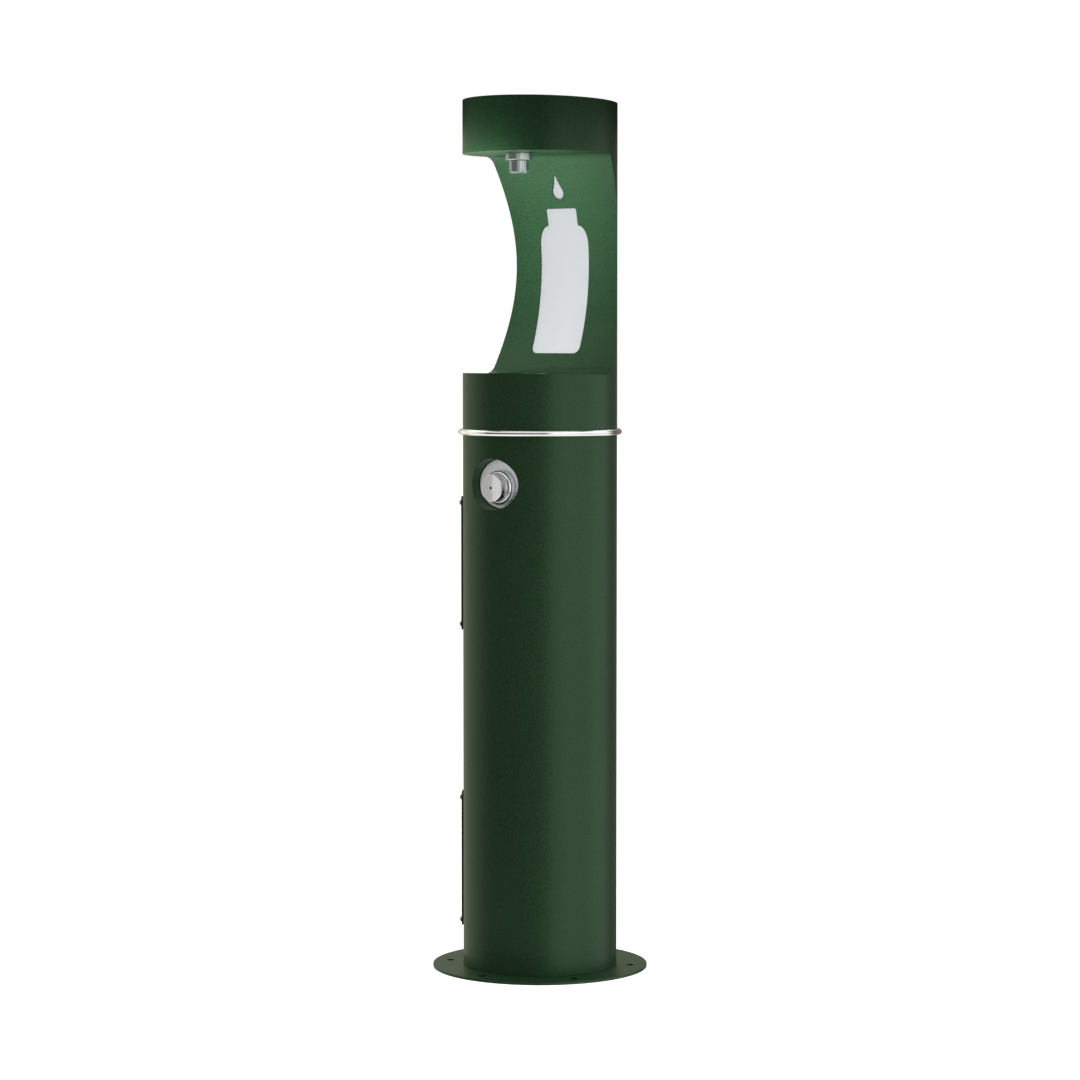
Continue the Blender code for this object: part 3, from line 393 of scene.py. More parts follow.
def block(low, high, corner=0.0, segments=8):
    """A box whose edges along X are rounded by corner."""
    low = Vector(low)
    high = Vector(high)
    bm = bmesh.new()
    size = Matrix.Diagonal((*(high - low), 1.0))
    bmesh.ops.create_cube(bm, size=1.0, matrix=Matrix.Translation((low + high) / 2) @ size)
    if corner > 0.0:
        edges = [e for e in bm.edges if abs(e.verts[0].co.x - e.verts[1].co.x) > 1e-6]
        bmesh.ops.bevel(bm, geom=edges, offset=corner, segments=segments, profile=0.5, affect="EDGES")
    return from_bmesh(bm, "block")


def turned(name, profile, segments=96, rotation=(0, 0, 0), middle=(0, 0, 0)):
    """Turn a closed profile of (radius, height) points about the Z axis."""
    area = sum(a[0] * b[1] - b[0] * a[1] for a, b in zip(profile, profile[1:] + profile[:1]))
    if area > 0.0:
        profile = list(reversed(profile))
    mesh = bpy.data.meshes.new(name)
    edges = [(i, (i + 1) % len(profile)) for i in range(len(profile))]
    on_axis = {i for i, point in enumerate(profile) if point[0] == 0.0}
    edges = [edge for edge in edges if not (len(on_axis) == 2 and set(edge) <= on_axis)]
    mesh.from_pydata([(radius, 0.0, height) for radius, height in profile], edges, [])
    item = new_object(name, mesh)
    screw = item.modifiers.new("turn", "SCREW")
    screw.steps = segments
    screw.render_steps = segments
    screw.use_merge_vertices = True
    screw.merge_threshold = 0.000001
    item.location = middle
    item.rotation_euler = rotation
    return settle(item)


def settle(item):
    """Apply an object's modifiers and its place to its mesh."""
    bpy.context.view_layer.update()
    graph = bpy.context.evaluated_depsgraph_get()
    mesh = bpy.data.meshes.new_from_object(item.evaluated_get(graph))
    mesh.transform(item.matrix_world)
    item.modifiers.clear()
    item.data = mesh
    item.matrix_world = Matrix.Identity(4)
    return item


def carve(target, cutter, operation="DIFFERENCE"):
    """Cut, join or trim the target by the cutter, which is used up."""
    boolean = target.modifiers.new("cut", "BOOLEAN")
    boolean.operation = operation
    boolean.object = cutter
    boolean.solver = "EXACT"
    settle(target)
    bpy.data.objects.remove(cutter, do_unlink=True)
    return target


def extruded(name, points, thickness, rotation=(0, 0, 0), middle=(0, 0, 0)):
    """A flat closed outline given a thickness, centred on its plane."""
    curve = bpy.data.curves.new(name, "CURVE")
    curve.dimensions = "2D"
    curve.fill_mode = "BOTH"
    curve.extrude = thickness / 2
    spline = curve.splines.new("POLY")
    spline.points.add(len(points) - 1)
    for point, (x, y) in zip(spline.points, points):
        point.co = (x, y, 0.0, 1.0)
    spline.use_cyclic_u = True
    source = new_object(name + "_curve", curve)
    source.location = middle
    source.rotation_euler = rotation
    bpy.context.view_layer.update()
    graph = bpy.context.evaluated_depsgraph_get()
    mesh = bpy.data.meshes.new_from_object(source.evaluated_get(graph))
    mesh.transform(source.matrix_world)
    bpy.data.objects.remove(source, do_unlink=True)
    bm = bmesh.new()
    bm.from_mesh(mesh)
    bmesh.ops.remove_doubles(bm, verts=bm.verts, dist=0.000005)
    bmesh.ops.dissolve_limit(bm, angle_limit=0.001, verts=bm.verts, edges=bm.edges)
    bm.to_mesh(mesh)
    bm.free()
    return new_object(name, mesh)


def arc(centre, radius, start, end, steps):
    angles = [start + (end - start) * i / steps for i in range(steps + 1)]
    return [(centre[0] + radius * math.cos(a), centre[1] + radius * math.sin(a)) for a in angles]


def soften(item, width, segments=3, angle=30.0):
    """Round an object's sharp edges and keep its large faces evenly shaded."""
    bevel = item.modifiers.new("bevel", "BEVEL")
    bevel.width = width
    bevel.segments = segments
    bevel.limit_method = "ANGLE"
    bevel.angle_limit = math.radians(angle)
    bevel.use_clamp_overlap = True
    bevel.miter_outer = "MITER_ARC"
    settle(item)
    smooth(item)
    weighted = item.modifiers.new("weighted", "WEIGHTED_NORMAL")
    weighted.keep_sharp = True
    weighted.weight = 100
    return item


def smooth(item, angle=35.0):
    item.data.shade_smooth()
    item.data.set_sharp_from_angle(angle=math.radians(angle))
    return item


def finish(item, material, body="root", nodes=()):
    """Give a piece its material, its body and the CAD nodes that it stands for."""
    item.data.materials.clear()
    item.data.materials.append(material)
    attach(item, body)
    if nodes:
        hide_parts(*nodes)
    return item


# ---------------------------------------------------------------- the head

def alcove_profile(offset, front=-0.2):
    """(y, z) points from the ceiling to the shelf, moved outwards by offset."""
    centre = (BACK_DEPTH - BACK_RADIUS, BACK_HEIGHT)
    reach = BACK_RADIUS - FILLET
    below = math.cos(SHELF_TILT) * (BACK_HEIGHT - SHELF) + math.sin(SHELF_TILT) * centre[0]
    shelf_angle = -math.pi / 2 - SHELF_TILT
    top = math.pi / 2 - math.acos((CEILING - BACK_HEIGHT - FILLET) / reach)
    bottom = shelf_angle + math.acos((below - FILLET) / reach)
    upper = arc(centre, reach, top, top, 1)[0]
    lower = arc(centre, reach, bottom, bottom, 1)[0]
    points = [(front, CEILING + offset)]
    points += arc(upper, FILLET + offset, math.pi / 2, top, 12)
    points += arc(centre, BACK_RADIUS + offset, top, bottom, 48)[1:-1]
    points += arc(lower, FILLET + offset, bottom, shelf_angle, 12)
    end_y, end_z = points[-1]
    points.append((front, end_z + (end_y - front) * math.tan(SHELF_TILT)))
    return points


def shelf_at(y):
    """The shelf's height at depth y."""
    return SHELF - y * math.tan(SHELF_TILT)


def bottle_outline():
    half = 60.5 * MM
    neck = 38 * MM
    shoulder = 1433 * MM
    collar = 1470 * MM
    low = 1217.5 * MM
    high = 1503.6 * MM
    corner = 13.5 * MM
    small = 4 * MM
    right = arc((half - corner, low + corner), corner, -math.pi / 2, 0, 8)
    right += [(neck + (half - neck) * x, shoulder + (collar - shoulder) * z)
              for x, z in arc((0, 0), 1.0, 0, math.pi / 2, 14)]
    right += arc((neck - small, high - small), small, 0, math.pi / 2, 5)
    return right + [(-x, z) for x, z in reversed(right)]


def drop_outline():
    radius = 13.5 * MM
    middle = 1535 * MM
    tip = 1563.5 * MM
    tip_radius = 3.6 * MM
    right = arc((0, middle), radius, -math.pi / 2, math.radians(25), 14)
    low_x, low_z = right[-1]
    for i in range(1, 8):
        share = i / 8
        half = tip_radius + (low_x - tip_radius) * (1 - share) ** 1.3
        right.append((half, low_z + (tip - low_z) * share))
    right += arc((0, tip), tip_radius, 0, math.pi / 2, 6)
    return right + [(-x, z) for x, z in reversed(right[1:-1])]


def crown_solid(radius, drop, depth):
    """The head's tilted, slightly domed top: everything under it down to depth."""
    bulge = (RADIUS ** 2 + CAP_RISE ** 2) / (2 * CAP_RISE)
    radii = [radius * i / 24 for i in range(25)]
    dome = [(r, math.sqrt(bulge ** 2 - r ** 2) - bulge + CAP_RISE - drop) for r in radii]
    return turned("crown", dome + [(radius, -depth), (0.0, -depth)], SKIN_SEGMENTS,
                  (-TOP_TILT, 0, 0), (0, 0, TOP_HEIGHT))


def head_casing(paint):
    """Tube, alcove and cap, welded and ground into one skin."""
    low = HEAD[0].z
    head = cylinder(RADIUS, low, HEAD_STOCK_TOP, SKIN_SEGMENTS)
    carve(head, crown_solid(CROWN_REACH, 0.0, CROWN_DEPTH), "INTERSECT")
    carve(head, extruded("alcove", alcove_profile(0.0), 0.5, TO_SIDE))
    cavity = cylinder(BORE, low - 0.02, HEAD_STOCK_TOP, SKIN_SEGMENTS)
    carve(cavity, crown_solid(CROWN_REACH, SHEET, CAVITY_DEPTH), "INTERSECT")
    carve(cavity, extruded("alcove", alcove_profile(SHEET), 0.5, TO_SIDE))
    carve(head, cavity)
    for points in (bottle_outline(), drop_outline()):
        carve(head, extruded("window", points, WINDOW_CUT, TO_FRONT, (WINDOW_X, WINDOW_CUT_Y, 0)))
    carve(head, cylinder(DRAIN_HOLE, 1.15, 1.2, 48, (0, DRAIN_Y, 0)))
    carve(head, cylinder(SPOUT_HOLE, 1.59, 1.63, 48, (0, SPOUT_Y, 0)))
    head.name = "head_casing"
    soften(head, 1.3 * MM, 3)
    return finish(head, paint, "root", ("head_tube", "alcove_liner", "top_cap"))


def window_plate(grey):
    """The light grey plate behind both windows, a shallow curved sheet."""
    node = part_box("graphic_backing")
    centre = (BACK_DEPTH - BACK_RADIUS, BACK_HEIGHT)
    inner = BACK_RADIUS + SHEET + 0.3 * MM
    top = math.asin((node[1].z - BACK_HEIGHT - 1 * MM) / inner)
    bottom = math.asin((node[0].z - BACK_HEIGHT + 1 * MM) / inner)
    section = arc(centre, inner, top, bottom, 48)
    section += arc(centre, inner + 2 * MM, bottom, top, 48)
    plate = extruded("window_plate", section, node[1].x - node[0].x, TO_SIDE, (WINDOW_X, 0, 0))
    soften(plate, 0.3 * MM, 2)
    return finish(plate, grey, "root", ("graphic_backing",))


# ---------------------------------------------------------------- pedestal

def pedestal(paint):
    tube = turned("pedestal_shell", [(RADIUS, COLUMN[0].z), (RADIUS, COLUMN[1].z), (BORE, COLUMN[1].z),
                                     (BORE, COLUMN[0].z)], SKIN_SEGMENTS)
    carve(tube, recess_oval(0.0, 0.10, 0.17))
    for low, high in PANELS.values():
        carve(tube, block((-0.17, -74 * MM, low + 26 * MM), (-0.08, 74 * MM, high - 26 * MM), 10 * MM))
    soften(tube, 1.2 * MM, 3)
    finish(tube, paint, "root", ("pedestal_tube",))


def base(paint):
    low = FLANGE[0].z
    high = FLANGE[1].z
    rim = FLANGE[1].x
    plate = turned("floor_flange", [(rim, low), (rim, high), (FLANGE_OPENING, high), (FLANGE_OPENING, low)],
                   SKIN_SEGMENTS)
    for i in range(ANCHOR_COUNT):
        angle = -math.pi / 2 + i * 2 * math.pi / ANCHOR_COUNT
        middle = (ANCHOR_CIRCLE * math.cos(angle), ANCHOR_CIRCLE * math.sin(angle), 0)
        carve(plate, cylinder(ANCHOR_RADIUS, -0.01, 0.02, 40, middle))
    soften(plate, 0.7 * MM, 2)
    finish(plate, paint, "root", ("base_flange",))


def trim_ring(chrome):
    rod = arc(((RING[1].x - RING_ROD), RING_HEIGHT), RING_ROD, 0, 2 * math.pi, 32)[:-1]
    ring = turned("joint_ring", rod, 240)
    smooth(ring, 60)
    return finish(ring, chrome, "root", ("trim_ring",))


# ---------------------------------------------------------------- button

def recess_oval(margin, low, high):
    """The recess's oval as a solid from low to high in front of the axis."""
    height = RECESS_HALF_HEIGHT + margin
    stretch = (RECESS_HALF_WIDTH + margin) / height
    return cylinder(height, low, high, 128, (0, 0, RECESS_HEIGHT), TO_FRONT, stretch)


def neck_hole():
    return cylinder(NECK_HOLE, 0.10, 0.17, 48, (0, 0, BUTTON_HEIGHT), TO_FRONT)


def recess(paint, satin, chrome):
    cup = settle(recess_oval(CUP_WALL, -CUP[1].y, 0.165))
    carve(cup, recess_oval(0.0, -RECESS_FLOOR, 0.18))
    carve(cup, cylinder(BORE - 0.1 * MM, 0.8, 1.05, SKIN_SEGMENTS), "INTERSECT")
    carve(cup, neck_hole())
    cup.name = "recess_cup"
    smooth(cup)
    finish(cup, paint, "root", ("button_recess_cup",))

    disc = settle(recess_oval(DISC[1].x - RECESS_HALF_WIDTH, -DISC[1].y, -DISC[0].y))
    carve(disc, neck_hole())
    disc.name = "button_escutcheon"
    soften(disc, 0.3 * MM, 2)
    finish(disc, satin, "root", ("escutcheon_disc",))

    seat = -COLLAR[1].y
    nose = -COLLAR[0].y
    outer = COLLAR[1].x
    inner = BUTTON[1].x + 0.6 * MM
    lip = 0.8 * MM
    crest = inner + lip
    fall = 5 * MM
    profile = [(inner, seat), (outer - lip, seat), (outer, seat + lip)]
    profile += [(crest + (outer - crest) * x, nose - fall + fall * y)
                for x, y in arc((0, 0), 1.0, 0, math.pi / 2, 20)]
    profile += arc((crest, nose - lip), lip, math.pi / 2, math.pi, 6)[1:]
    collar = turned("button_bezel", profile, 160, TO_FRONT, (0, 0, BUTTON_HEIGHT))
    smooth(collar, 50)
    finish(collar, chrome, "root", ("button_collar",))
    return [disc, collar]


def push_button(chrome, dark):
    """A chrome cap with a slightly domed face and a dark dot in its middle."""
    face = -BUTTON[0].y
    rear = -BUTTON[1].y
    radius = BUTTON[1].x
    edge = 2.2 * MM
    crown = 0.5 * MM
    dimple = 3 * MM
    inside = face - 3.5 * MM
    flat = radius - edge
    profile = [(0.0, face - 0.8 * MM), (dimple * 0.95, face - 0.8 * MM), (dimple, face)]
    profile += [(flat * i / 8, face - crown * (i / 8) ** 2) for i in range(1, 8)]
    profile += [(flat + x, face - crown - edge + y)
                for x, y in reversed(arc((0, 0), edge, 0, math.pi / 2, 10))]
    profile += [(radius, rear), (radius - 2.4 * MM, rear), (radius - 2.4 * MM, inside), (0.0, inside)]
    button = turned("filler_button", profile, 160, TO_FRONT, (0, 0, BUTTON_HEIGHT))
    smooth(button, 30)
    finish(button, chrome, "button", ("push_button",))

    dot = turned("button_dot", [(0.0, face - 0.75 * MM), (dimple * 0.92, face - 0.75 * MM),
                                (dimple * 0.92, face - 0.1 * MM), (0.0, face - 0.05 * MM)], 24, TO_FRONT,
                 (0, 0, BUTTON_HEIGHT))
    finish(smooth(dot), dark, "button")
    return button


def button_spring(steel):
    """The return spring with its fixed rear end; it is built at one length and does not shorten as the button
    goes in.
    """
    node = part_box("return_spring")
    wire = 0.8 * MM
    coil = (node[1].x - node[0].x) / 2 - wire
    front = node[0].y + wire
    rear = node[1].y - wire
    curve = bpy.data.curves.new("button_spring_line", "CURVE")
    curve.dimensions = "3D"
    curve.bevel_depth = wire
    curve.bevel_resolution = 3
    curve.use_fill_caps = True
    spline = curve.splines.new("POLY")
    steps = 40 * SPRING_TURNS
    spline.points.add(steps)
    for i, point in enumerate(spline.points):
        angle = 2 * math.pi * SPRING_TURNS * i / steps
        point.co = (coil * math.cos(angle), rear + (front - rear) * i / steps,
                    BUTTON_HEIGHT + coil * math.sin(angle), 1.0)
    source = new_object("button_spring_line", curve)
    bpy.context.view_layer.update()
    graph = bpy.context.evaluated_depsgraph_get()
    mesh = bpy.data.meshes.new_from_object(source.evaluated_get(graph))
    bpy.data.objects.remove(source, do_unlink=True)
    spring = smooth(new_object("button_spring", mesh))
    finish(spring, steel, "root", ("return_spring",))
    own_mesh(spring)


# ---------------------------------------------------------------- spout

def spout(chrome, dark):
    top = CEILING - 0.3 * MM
    low = SPOUT_FLANGE[0].z
    radius = SPOUT_FLANGE[1].x
    shank = 9.5 * MM
    edge = 3 * MM
    profile = [(5 * MM, SPOUT_FLANGE[1].z), (shank, SPOUT_FLANGE[1].z), (shank, top), (radius - 1 * MM, top),
               (radius, top - 1 * MM)]
    profile += arc((radius - edge, low + edge), edge, 0, -math.pi / 2, 8)
    profile += [(5 * MM, low)]
    flange = turned("spout_base", profile, 96, (0, 0, 0), (0, SPOUT_Y, 0))
    smooth(flange, 40)
    fitting = [finish(flange, chrome, "root", ("spout_flange",))]

    top = NOZZLE[1].z
    low = NOZZLE[0].z
    radius = (NOZZLE[1].x - NOZZLE[0].x) / 2
    bore = radius - 3.5 * MM
    edge = 3.2 * MM
    profile = [(0.0, top), (radius - 0.8 * MM, top), (radius, top - 0.8 * MM)]
    profile += arc((radius - edge, low + edge), edge, 0, -math.pi / 2, 8)
    profile += [(bore + 0.3 * MM, low), (bore, low + 0.4 * MM), (bore, top - 3.5 * MM), (0.0, top - 3.5 * MM)]
    nozzle = turned("spout_tip", profile, 96, (0, 0, 0), (0, SPOUT_Y, 0))
    notches = 12
    for i in range(notches):
        angle = i * 2 * math.pi / notches
        place = ((radius + 0.4 * MM) * math.cos(angle), SPOUT_Y + (radius + 0.4 * MM) * math.sin(angle), 0)
        carve(nozzle, cylinder(1.2 * MM, low - 1 * MM, low + 5.5 * MM, 12, place))
    smooth(nozzle, 30)
    fitting.append(finish(nozzle, chrome, "root", ("spout_nozzle",)))

    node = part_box("laminar_insert")
    insert = settle(cylinder(node[1].x, node[0].z, node[1].z, 48, (0, SPOUT_Y, 0)))
    for ring, count in ((3.2 * MM, 6), (6.6 * MM, 12), (10.2 * MM, 18)):
        for i in range(count):
            angle = i * 2 * math.pi / count
            place = (ring * math.cos(angle), SPOUT_Y + ring * math.sin(angle), 0)
            carve(insert, cylinder(0.9 * MM, node[0].z - 1 * MM, node[0].z + 2 * MM, 10, place))
    insert.name = "stream_former"
    smooth(insert)
    finish(insert, dark, "root", ("laminar_insert",))
    return fitting


# ---------------------------------------------------------------- panels

def screw_places(low, high):
    """(bearing, height) of a panel's four screws, the upper pair first."""
    return [(math.pi + side * SCREW_ANGLE, height)
            for height in (high - SCREW_INSET, low + SCREW_INSET) for side in (-1, 1)]


def access_panel(level, paint, steel):
    low, high = PANELS[level]
    half = PANEL_HALF_WIDTH
    panel = turned(f"service_panel_{level}", [(PANEL_OUTER, low - 0.01), (PANEL_OUTER, high + 0.01),
                                              (PANEL_INNER, high + 0.01), (PANEL_INNER, low - 0.01)],
                   SKIN_SEGMENTS)
    carve(panel, block((-0.17, -half, low), (-0.08, half, high), 10 * MM), "INTERSECT")
    for angle, height in screw_places(low, high):
        carve(panel, cylinder(2.6 * MM, 0.14, 0.17, 24, (0, 0, height), (0, math.pi / 2, angle)))
    soften(panel, 0.5 * MM, 2)
    finish(panel, paint, "root", (f"access_panel_{level}",))
    for number, (angle, height) in enumerate(screw_places(low, high), 1):
        panel_screw(f"{level}_{number}", angle, height, steel)


def panel_screw(label, angle, height, steel):
    """Button head with a hexagon socket and a centre pin."""
    base_radius = PANEL_OUTER + 0.3 * MM
    head = 5.25 * MM
    rise = 3.6 * MM
    top = base_radius + rise
    dome = [(head - 0.3 * MM, base_radius), (head, base_radius + 0.5 * MM)]
    for i in range(1, 9):
        turn = i / 8 * math.pi / 2
        dome.append((head * (0.42 + 0.58 * math.cos(turn)), base_radius + 0.5 * MM
                     + (rise - 0.5 * MM) * math.sin(turn)))
    profile = [(0.0, 140.5 * MM), (1.6 * MM, 140.5 * MM), (2.2 * MM, 141.2 * MM), (2.2 * MM, base_radius)]
    profile += dome + [(0.0, top)]
    rotation = (0, math.pi / 2, angle)
    screw = turned(f"tamper_screw_{label}", profile, 32, rotation, (0, 0, height))
    socket = cylinder(1.9 * MM, top - 2 * MM, top + 1 * MM, 6, (0, 0, height), rotation)
    settle(socket)
    carve(socket, cylinder(0.6 * MM, top - 3 * MM, top - 0.5 * MM, 12, (0, 0, height), rotation))
    carve(screw, socket)
    smooth(screw, 30)
    finish(screw, steel, "root", (f"panel_screw_{label}",))


# ---------------------------------------------------------------- drain

def drain(steel):
    """Perforated stainless strainer with a shallow dished grid."""
    height = shelf_at(DRAIN_Y)
    flange = 26 * MM
    shank = 15.5 * MM
    bore = shank - 1.8 * MM
    profile = [(0.0, -0.6 * MM), (6 * MM, -0.5 * MM), (11 * MM, -0.1 * MM), (shank, 0.5 * MM),
               (20 * MM, 0.65 * MM), (flange - 2 * MM, 0.7 * MM), (flange - 0.5 * MM, 0.6 * MM),
               (flange, 0.3 * MM), (shank, 0.3 * MM), (shank, -36 * MM), (bore, -36 * MM), (bore, -1.4 * MM),
               (6 * MM, -1.9 * MM), (0.0, -2.1 * MM)]
    tilt = (-SHELF_TILT, 0, 0)
    place = Vector((0, DRAIN_Y, height))
    strainer = turned("shelf_strainer", profile, 96, tilt, place)
    for ring, count in ((0.0, 1), (4.6 * MM, 6), (9.2 * MM, 12)):
        for i in range(count):
            angle = i * 2 * math.pi / count
            offset = Vector((ring * math.cos(angle), ring * math.sin(angle), 0))
            carve(strainer, cylinder(1.35 * MM, -6 * MM, 6 * MM, 16, place + offset))
    smooth(strainer, 30)
    finish(strainer, steel, "root", ("drain_strainer",))


# ---------------------------------------------------------------- kept CAD nodes

def dress(names, material):
    """Give CAD nodes that stay a finished material."""
    for name in names:
        node = frame["nodes"][name]
        node.data.materials.clear()
        node.data.materials.append(material)
        smooth(node, 30)


def nodes_in(slot):
    return [row["node"] for row in frame["record"]["subparts"] if row["material_slot"] == slot]


# ---------------------------------------------------------------- studio

class Sky(NodeTree):
    """World light made of soft panels, each a window of bearing and height.

    A bearing is in degrees to the right of the camera, and a height is the sine of the
    elevation.
    """

    def __init__(self):
        self.world = bpy.data.worlds.new("studio_world")
        self.world.use_nodes = True
        self.tree = self.world.node_tree
        self.tree.nodes.clear()
        coordinates = self.tree.nodes.new("ShaderNodeTexCoord")
        turn = self.tree.nodes.new("ShaderNodeVectorRotate")
        turn.rotation_type = "Z_AXIS"
        turn.inputs["Angle"].default_value = -CAMERA_AZIMUTH
        self.tree.links.new(coordinates.outputs["Generated"], turn.inputs["Vector"])
        split = self.tree.nodes.new("ShaderNodeSeparateXYZ")
        self.tree.links.new(turn.outputs["Vector"], split.inputs["Vector"])
        back = self.maths("MULTIPLY", split.outputs["Y"], -1.0)
        radians = self.maths("ARCTAN2", split.outputs["X"], back)
        self.bearing = self.maths("MULTIPLY", radians, 180.0 / math.pi)
        self.height = split.outputs["Z"]
        self.total = None

    def edge(self, value, start, end):
        """0 before start and 1 after end, which may lie on either side of it."""
        node = self.tree.nodes.new("ShaderNodeMapRange")
        node.interpolation_type = "SMOOTHSTEP"
        self.tree.links.new(value, node.inputs["Value"])
        low, high = sorted((start, end))
        node.inputs["From Min"].default_value = low
        node.inputs["From Max"].default_value = high
        node.inputs["To Min"].default_value = float(start > end)
        node.inputs["To Max"].default_value = float(start < end)
        return node.outputs["Result"]

    def panel(self, strength, colour, bearings=None, heights=None, soft=(8.0, 0.12)):
        """Add a panel between two bearings and two heights, with soft edges."""
        mask = None
        for value, limits, width in ((self.bearing, bearings, soft[0]), (self.height, heights, soft[1])):
            if limits is None:
                continue
            low, high = limits
            for start, end in ((low - width, low + width), (high + width, high - width)):
                side = self.edge(value, start, end)
                mask = side if mask is None else self.maths("MULTIPLY", mask, side)
        light = self.tree.nodes.new("ShaderNodeVectorMath")
        light.operation = "SCALE"
        light.inputs[0].default_value = colour
        if mask is None:
            light.inputs["Scale"].default_value = strength
        else:
            self.tree.links.new(self.maths("MULTIPLY", mask, strength), light.inputs["Scale"])
        if self.total is None:
            self.total = light.outputs[0]
            return
        add = self.tree.nodes.new("ShaderNodeVectorMath")
        add.operation = "ADD"
        self.tree.links.new(self.total, add.inputs[0])
        self.tree.links.new(light.outputs[0], add.inputs[1])
        self.total = add.outputs[0]

    def finish(self):
        """Plain white where the camera looks past the object, and the panels elsewhere."""
        output = self.tree.nodes.new("ShaderNodeOutputWorld")
        mix = self.tree.nodes.new("ShaderNodeMixShader")
        white = self.tree.nodes.new("ShaderNodeBackground")
        white.inputs["Color"].default_value = (1.0, 1.0, 1.0, 1.0)
        panels = self.tree.nodes.new("ShaderNodeBackground")
        path = self.tree.nodes.new("ShaderNodeLightPath")
        self.tree.links.new(self.total, panels.inputs["Color"])
        self.tree.links.new(path.outputs["Is Camera Ray"], mix.inputs[0])
        self.tree.links.new(panels.outputs[0], mix.inputs[1])
        self.tree.links.new(white.outputs[0], mix.inputs[2])
        self.tree.links.new(mix.outputs[0], output.inputs["Surface"])
        bpy.context.scene.world = self.world


def studio(floor_material):
    bm = bmesh.new()
    bmesh.ops.create_grid(bm, x_segments=1, y_segments=1, size=30.0)
    floor = from_bmesh(bm, "studio_floor")
    floor.location.z = FLANGE[0].z - 0.05 * MM
    floor.data.materials.append(floor_material)
    floor.visible_diffuse = False
    floor.visible_glossy = False

    white = (1.0, 1.0, 1.0)
    warm = (1.0, 0.95, 0.80)
    sky = Sky()
    sky.panel(0.155, (1.0, 0.87, 0.79))
    sky.panel(0.70, white, (14, 118), (-0.38, 0.60))
    sky.panel(0.18, white, (14, 58), (-0.38, 0.60))
    sky.panel(0.15, white, (85, 118), (-0.38, 0.60))
    sky.panel(0.50, warm, (-178, -98), (-0.40, 0.60), (14.0, 0.15))
    sky.panel(0.10, warm, (152, 180), (-0.40, 0.60), (6.0, 0.15))
    sky.panel(0.85, white, None, (0.45, 1.5), (8.0, 0.05))
    sky.panel(0.90, white, None, (-1.5, -0.45), (8.0, 0.05))
    sky.finish()


def lamp(name, pieces, size, power, place, rotation, mirrored=False):
    """A rectangular lamp that lights only the given pieces, and shows in them if mirrored."""
    light = bpy.data.lights.new(name, "AREA")
    light.shape = "RECTANGLE"
    light.size, light.size_y = size
    light.energy = power
    item = new_object(name, light)
    item.location = place
    item.rotation_euler = rotation
    item.visible_camera = False
    item.visible_glossy = mirrored
    receivers = bpy.data.collections.new(name)
    for piece in pieces:
        receivers.objects.link(piece)
    item.light_linking.receiver_collection = receivers


def fill_lamps(head, plate, disc):
    """Soft light inside the alcove, on its grey plate and on the button's disc."""
    front = -0.165
    lamp("alcove_fill", [head], (0.20, 0.26), 2.75, (-0.045, front, 1.45), (math.radians(111), 0, 0))
    lamp("plate_fill", [plate], (0.24, 0.34), 1.27, (0, front, BACK_HEIGHT - 0.03), TO_FRONT)
    lamp("disc_fill", [disc], (0.30, 0.30), 1.0, (0.05, -0.50, BUTTON_HEIGHT + 0.05), TO_FRONT)


def button_cards(pieces):
    """Two upright white cards that only the button's chrome sees, the left one dimmer."""
    middle = Vector((0, BUTTON[0].y, BUTTON_HEIGHT))
    away = Vector((-math.sin(CAMERA_AZIMUTH), -math.cos(CAMERA_AZIMUTH), CARD_FALL))
    along = Vector((math.cos(CAMERA_AZIMUTH), -math.sin(CAMERA_AZIMUTH), 0))
    width, height = CARD_SIZE
    for name, side, glow in (("dim_card", -1, 0.33), ("bright_card", 1, 0.58)):
        place = middle + CARD_DISTANCE * away + side * width / 2 * along
        lamp(name, pieces, CARD_SIZE, glow * math.pi * width * height, place,
             (math.pi / 2, 0, -CAMERA_AZIMUTH), True)


def camera_card(name, pieces, height, size, glow):
    """A white card in front of the camera's side that only the given chrome sees."""
    toward = Vector((math.sin(CAMERA_AZIMUTH), -math.cos(CAMERA_AZIMUTH), 0))
    place = MIRROR_DISTANCE * toward + Vector((0, 0, height))
    power = glow * math.pi * size[0] * size[1]
    lamp(name, pieces, size, power, place, (math.pi / 2, 0, CAMERA_AZIMUTH), True)


def head_flag():
    """A black shade round the head that keeps the side light off its top band."""
    bm = bmesh.new()
    bmesh.ops.create_cone(bm, cap_ends=False, segments=96, radius1=FLAG_RADIUS, radius2=FLAG_RADIUS,
                          depth=FLAG_TOP - FLAG_BOTTOM)
    flag = from_bmesh(bm, "head_flag")
    flag.location.z = (FLAG_TOP + FLAG_BOTTOM) / 2
    flag.data.materials.append(Shader("black_flag", (0.01, 0.01, 0.01), 0.9).material)
    flag.visible_camera = False


def ring_card(ring):
    """A white card to the left that only the chrome ring sees."""
    angle = CAMERA_AZIMUTH + RING_CARD_BEARING
    toward = Vector((math.sin(angle), -math.cos(angle), 0))
    place = MIRROR_DISTANCE * toward + Vector((0, 0, RING_HEIGHT))
    power = RING_CARD_GLOW * math.pi * RING_CARD_SIZE[0] * RING_CARD_SIZE[1]
    lamp("ring_card", [ring], RING_CARD_SIZE, power, place, (math.pi / 2, 0, angle), True)


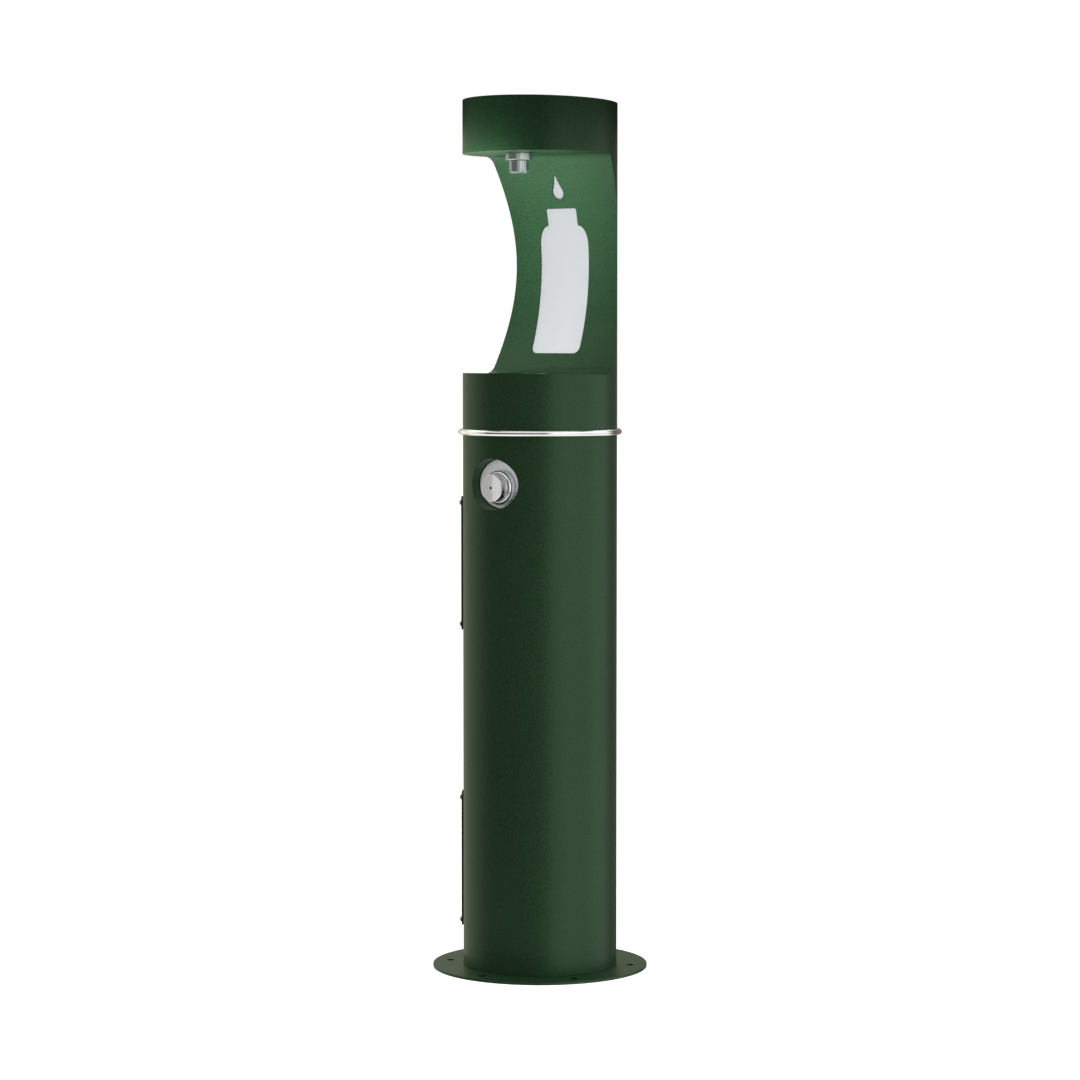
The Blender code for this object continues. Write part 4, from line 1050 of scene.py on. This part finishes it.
def camera():
    data = bpy.data.cameras.new("camera")
    data.sensor_width = 36.0
    data.lens = CAMERA_LENS
    item = new_object("camera", data)
    item.location = (CAMERA_DISTANCE * math.sin(CAMERA_AZIMUTH),
                     -CAMERA_DISTANCE * math.cos(CAMERA_AZIMUTH), CAMERA_HEIGHT)
    item.rotation_euler = (math.pi / 2 - CAMERA_PITCH, 0, CAMERA_AZIMUTH)
    bpy.context.scene.camera = item


# ---------------------------------------------------------------- assembly

bpy.context.scene.view_settings.view_transform = "Standard"
camera()
studio(floor_paint())

PAINT = powder_coat()
CHROME = bright_chrome()
RING_CHROME = bright_chrome("ring_chrome", 0.91, 0.10)
SPOUT_CHROME = spout_chrome()
SATIN = satin_chrome()
STAINLESS = satin_steel("satin_stainless", (0.60, 0.60, 0.59), 0.28)
ZINC = satin_steel("zinc_plate", (0.50, 0.51, 0.53), 0.36)
BRASS = yellow_brass()
GREY = grey_panel()
RUBBER = moulded("black_rubber", (0.018, 0.018, 0.018), 0.75, 500.0, 0.1)
BLACK = moulded("black_plastic", (0.025, 0.025, 0.026), 0.45)
TUBE = moulded("natural_tube", (0.72, 0.75, 0.74), 0.35, 200.0, 0.02)
PIPE = moulded("white_pipe", (0.82, 0.82, 0.79), 0.40, 300.0, 0.03)
VINYL = moulded("blue_vinyl", (0.02, 0.08, 0.34), 0.42, 400.0, 0.05)

for slot_name, material in (("stainless", STAINLESS), ("zinc_steel", ZINC), ("brass", BRASS),
                            ("rubber", RUBBER), ("black_plastic", BLACK), ("tube_plastic", TUBE),
                            ("pipe_plastic", PIPE), ("grip_vinyl", VINYL), ("chrome", CHROME),
                            ("evergreen_paint", PAINT), ("grey_plate", GREY)):
    dress(nodes_in(slot_name), material)

head_skin = head_casing(PAINT)
grey_plate = window_plate(GREY)
pedestal(PAINT)
# The flange's coat carries painted shade on the walls of its anchor holes.
base(powder_coat("evergreen_flange_coat_with_painted_bore_shade", True))
ring_card(trim_ring(RING_CHROME))
satin_disc, bezel = recess(PAINT, SATIN, CHROME)
button_cards([satin_disc, bezel, push_button(CHROME, BLACK)])
button_spring(STAINLESS)
camera_card("bezel_card", [bezel], BUTTON_HEIGHT, (1.6, 1.0), 0.75)
fill_lamps(head_skin, grey_plate, satin_disc)
camera_card("spout_card", spout(SPOUT_CHROME, BLACK), CEILING - 0.1, (1.1, 0.7), 0.42)
head_flag()
for panel_level in PANELS:
    access_panel(panel_level, PAINT, ZINC)
drain(STAINLESS)
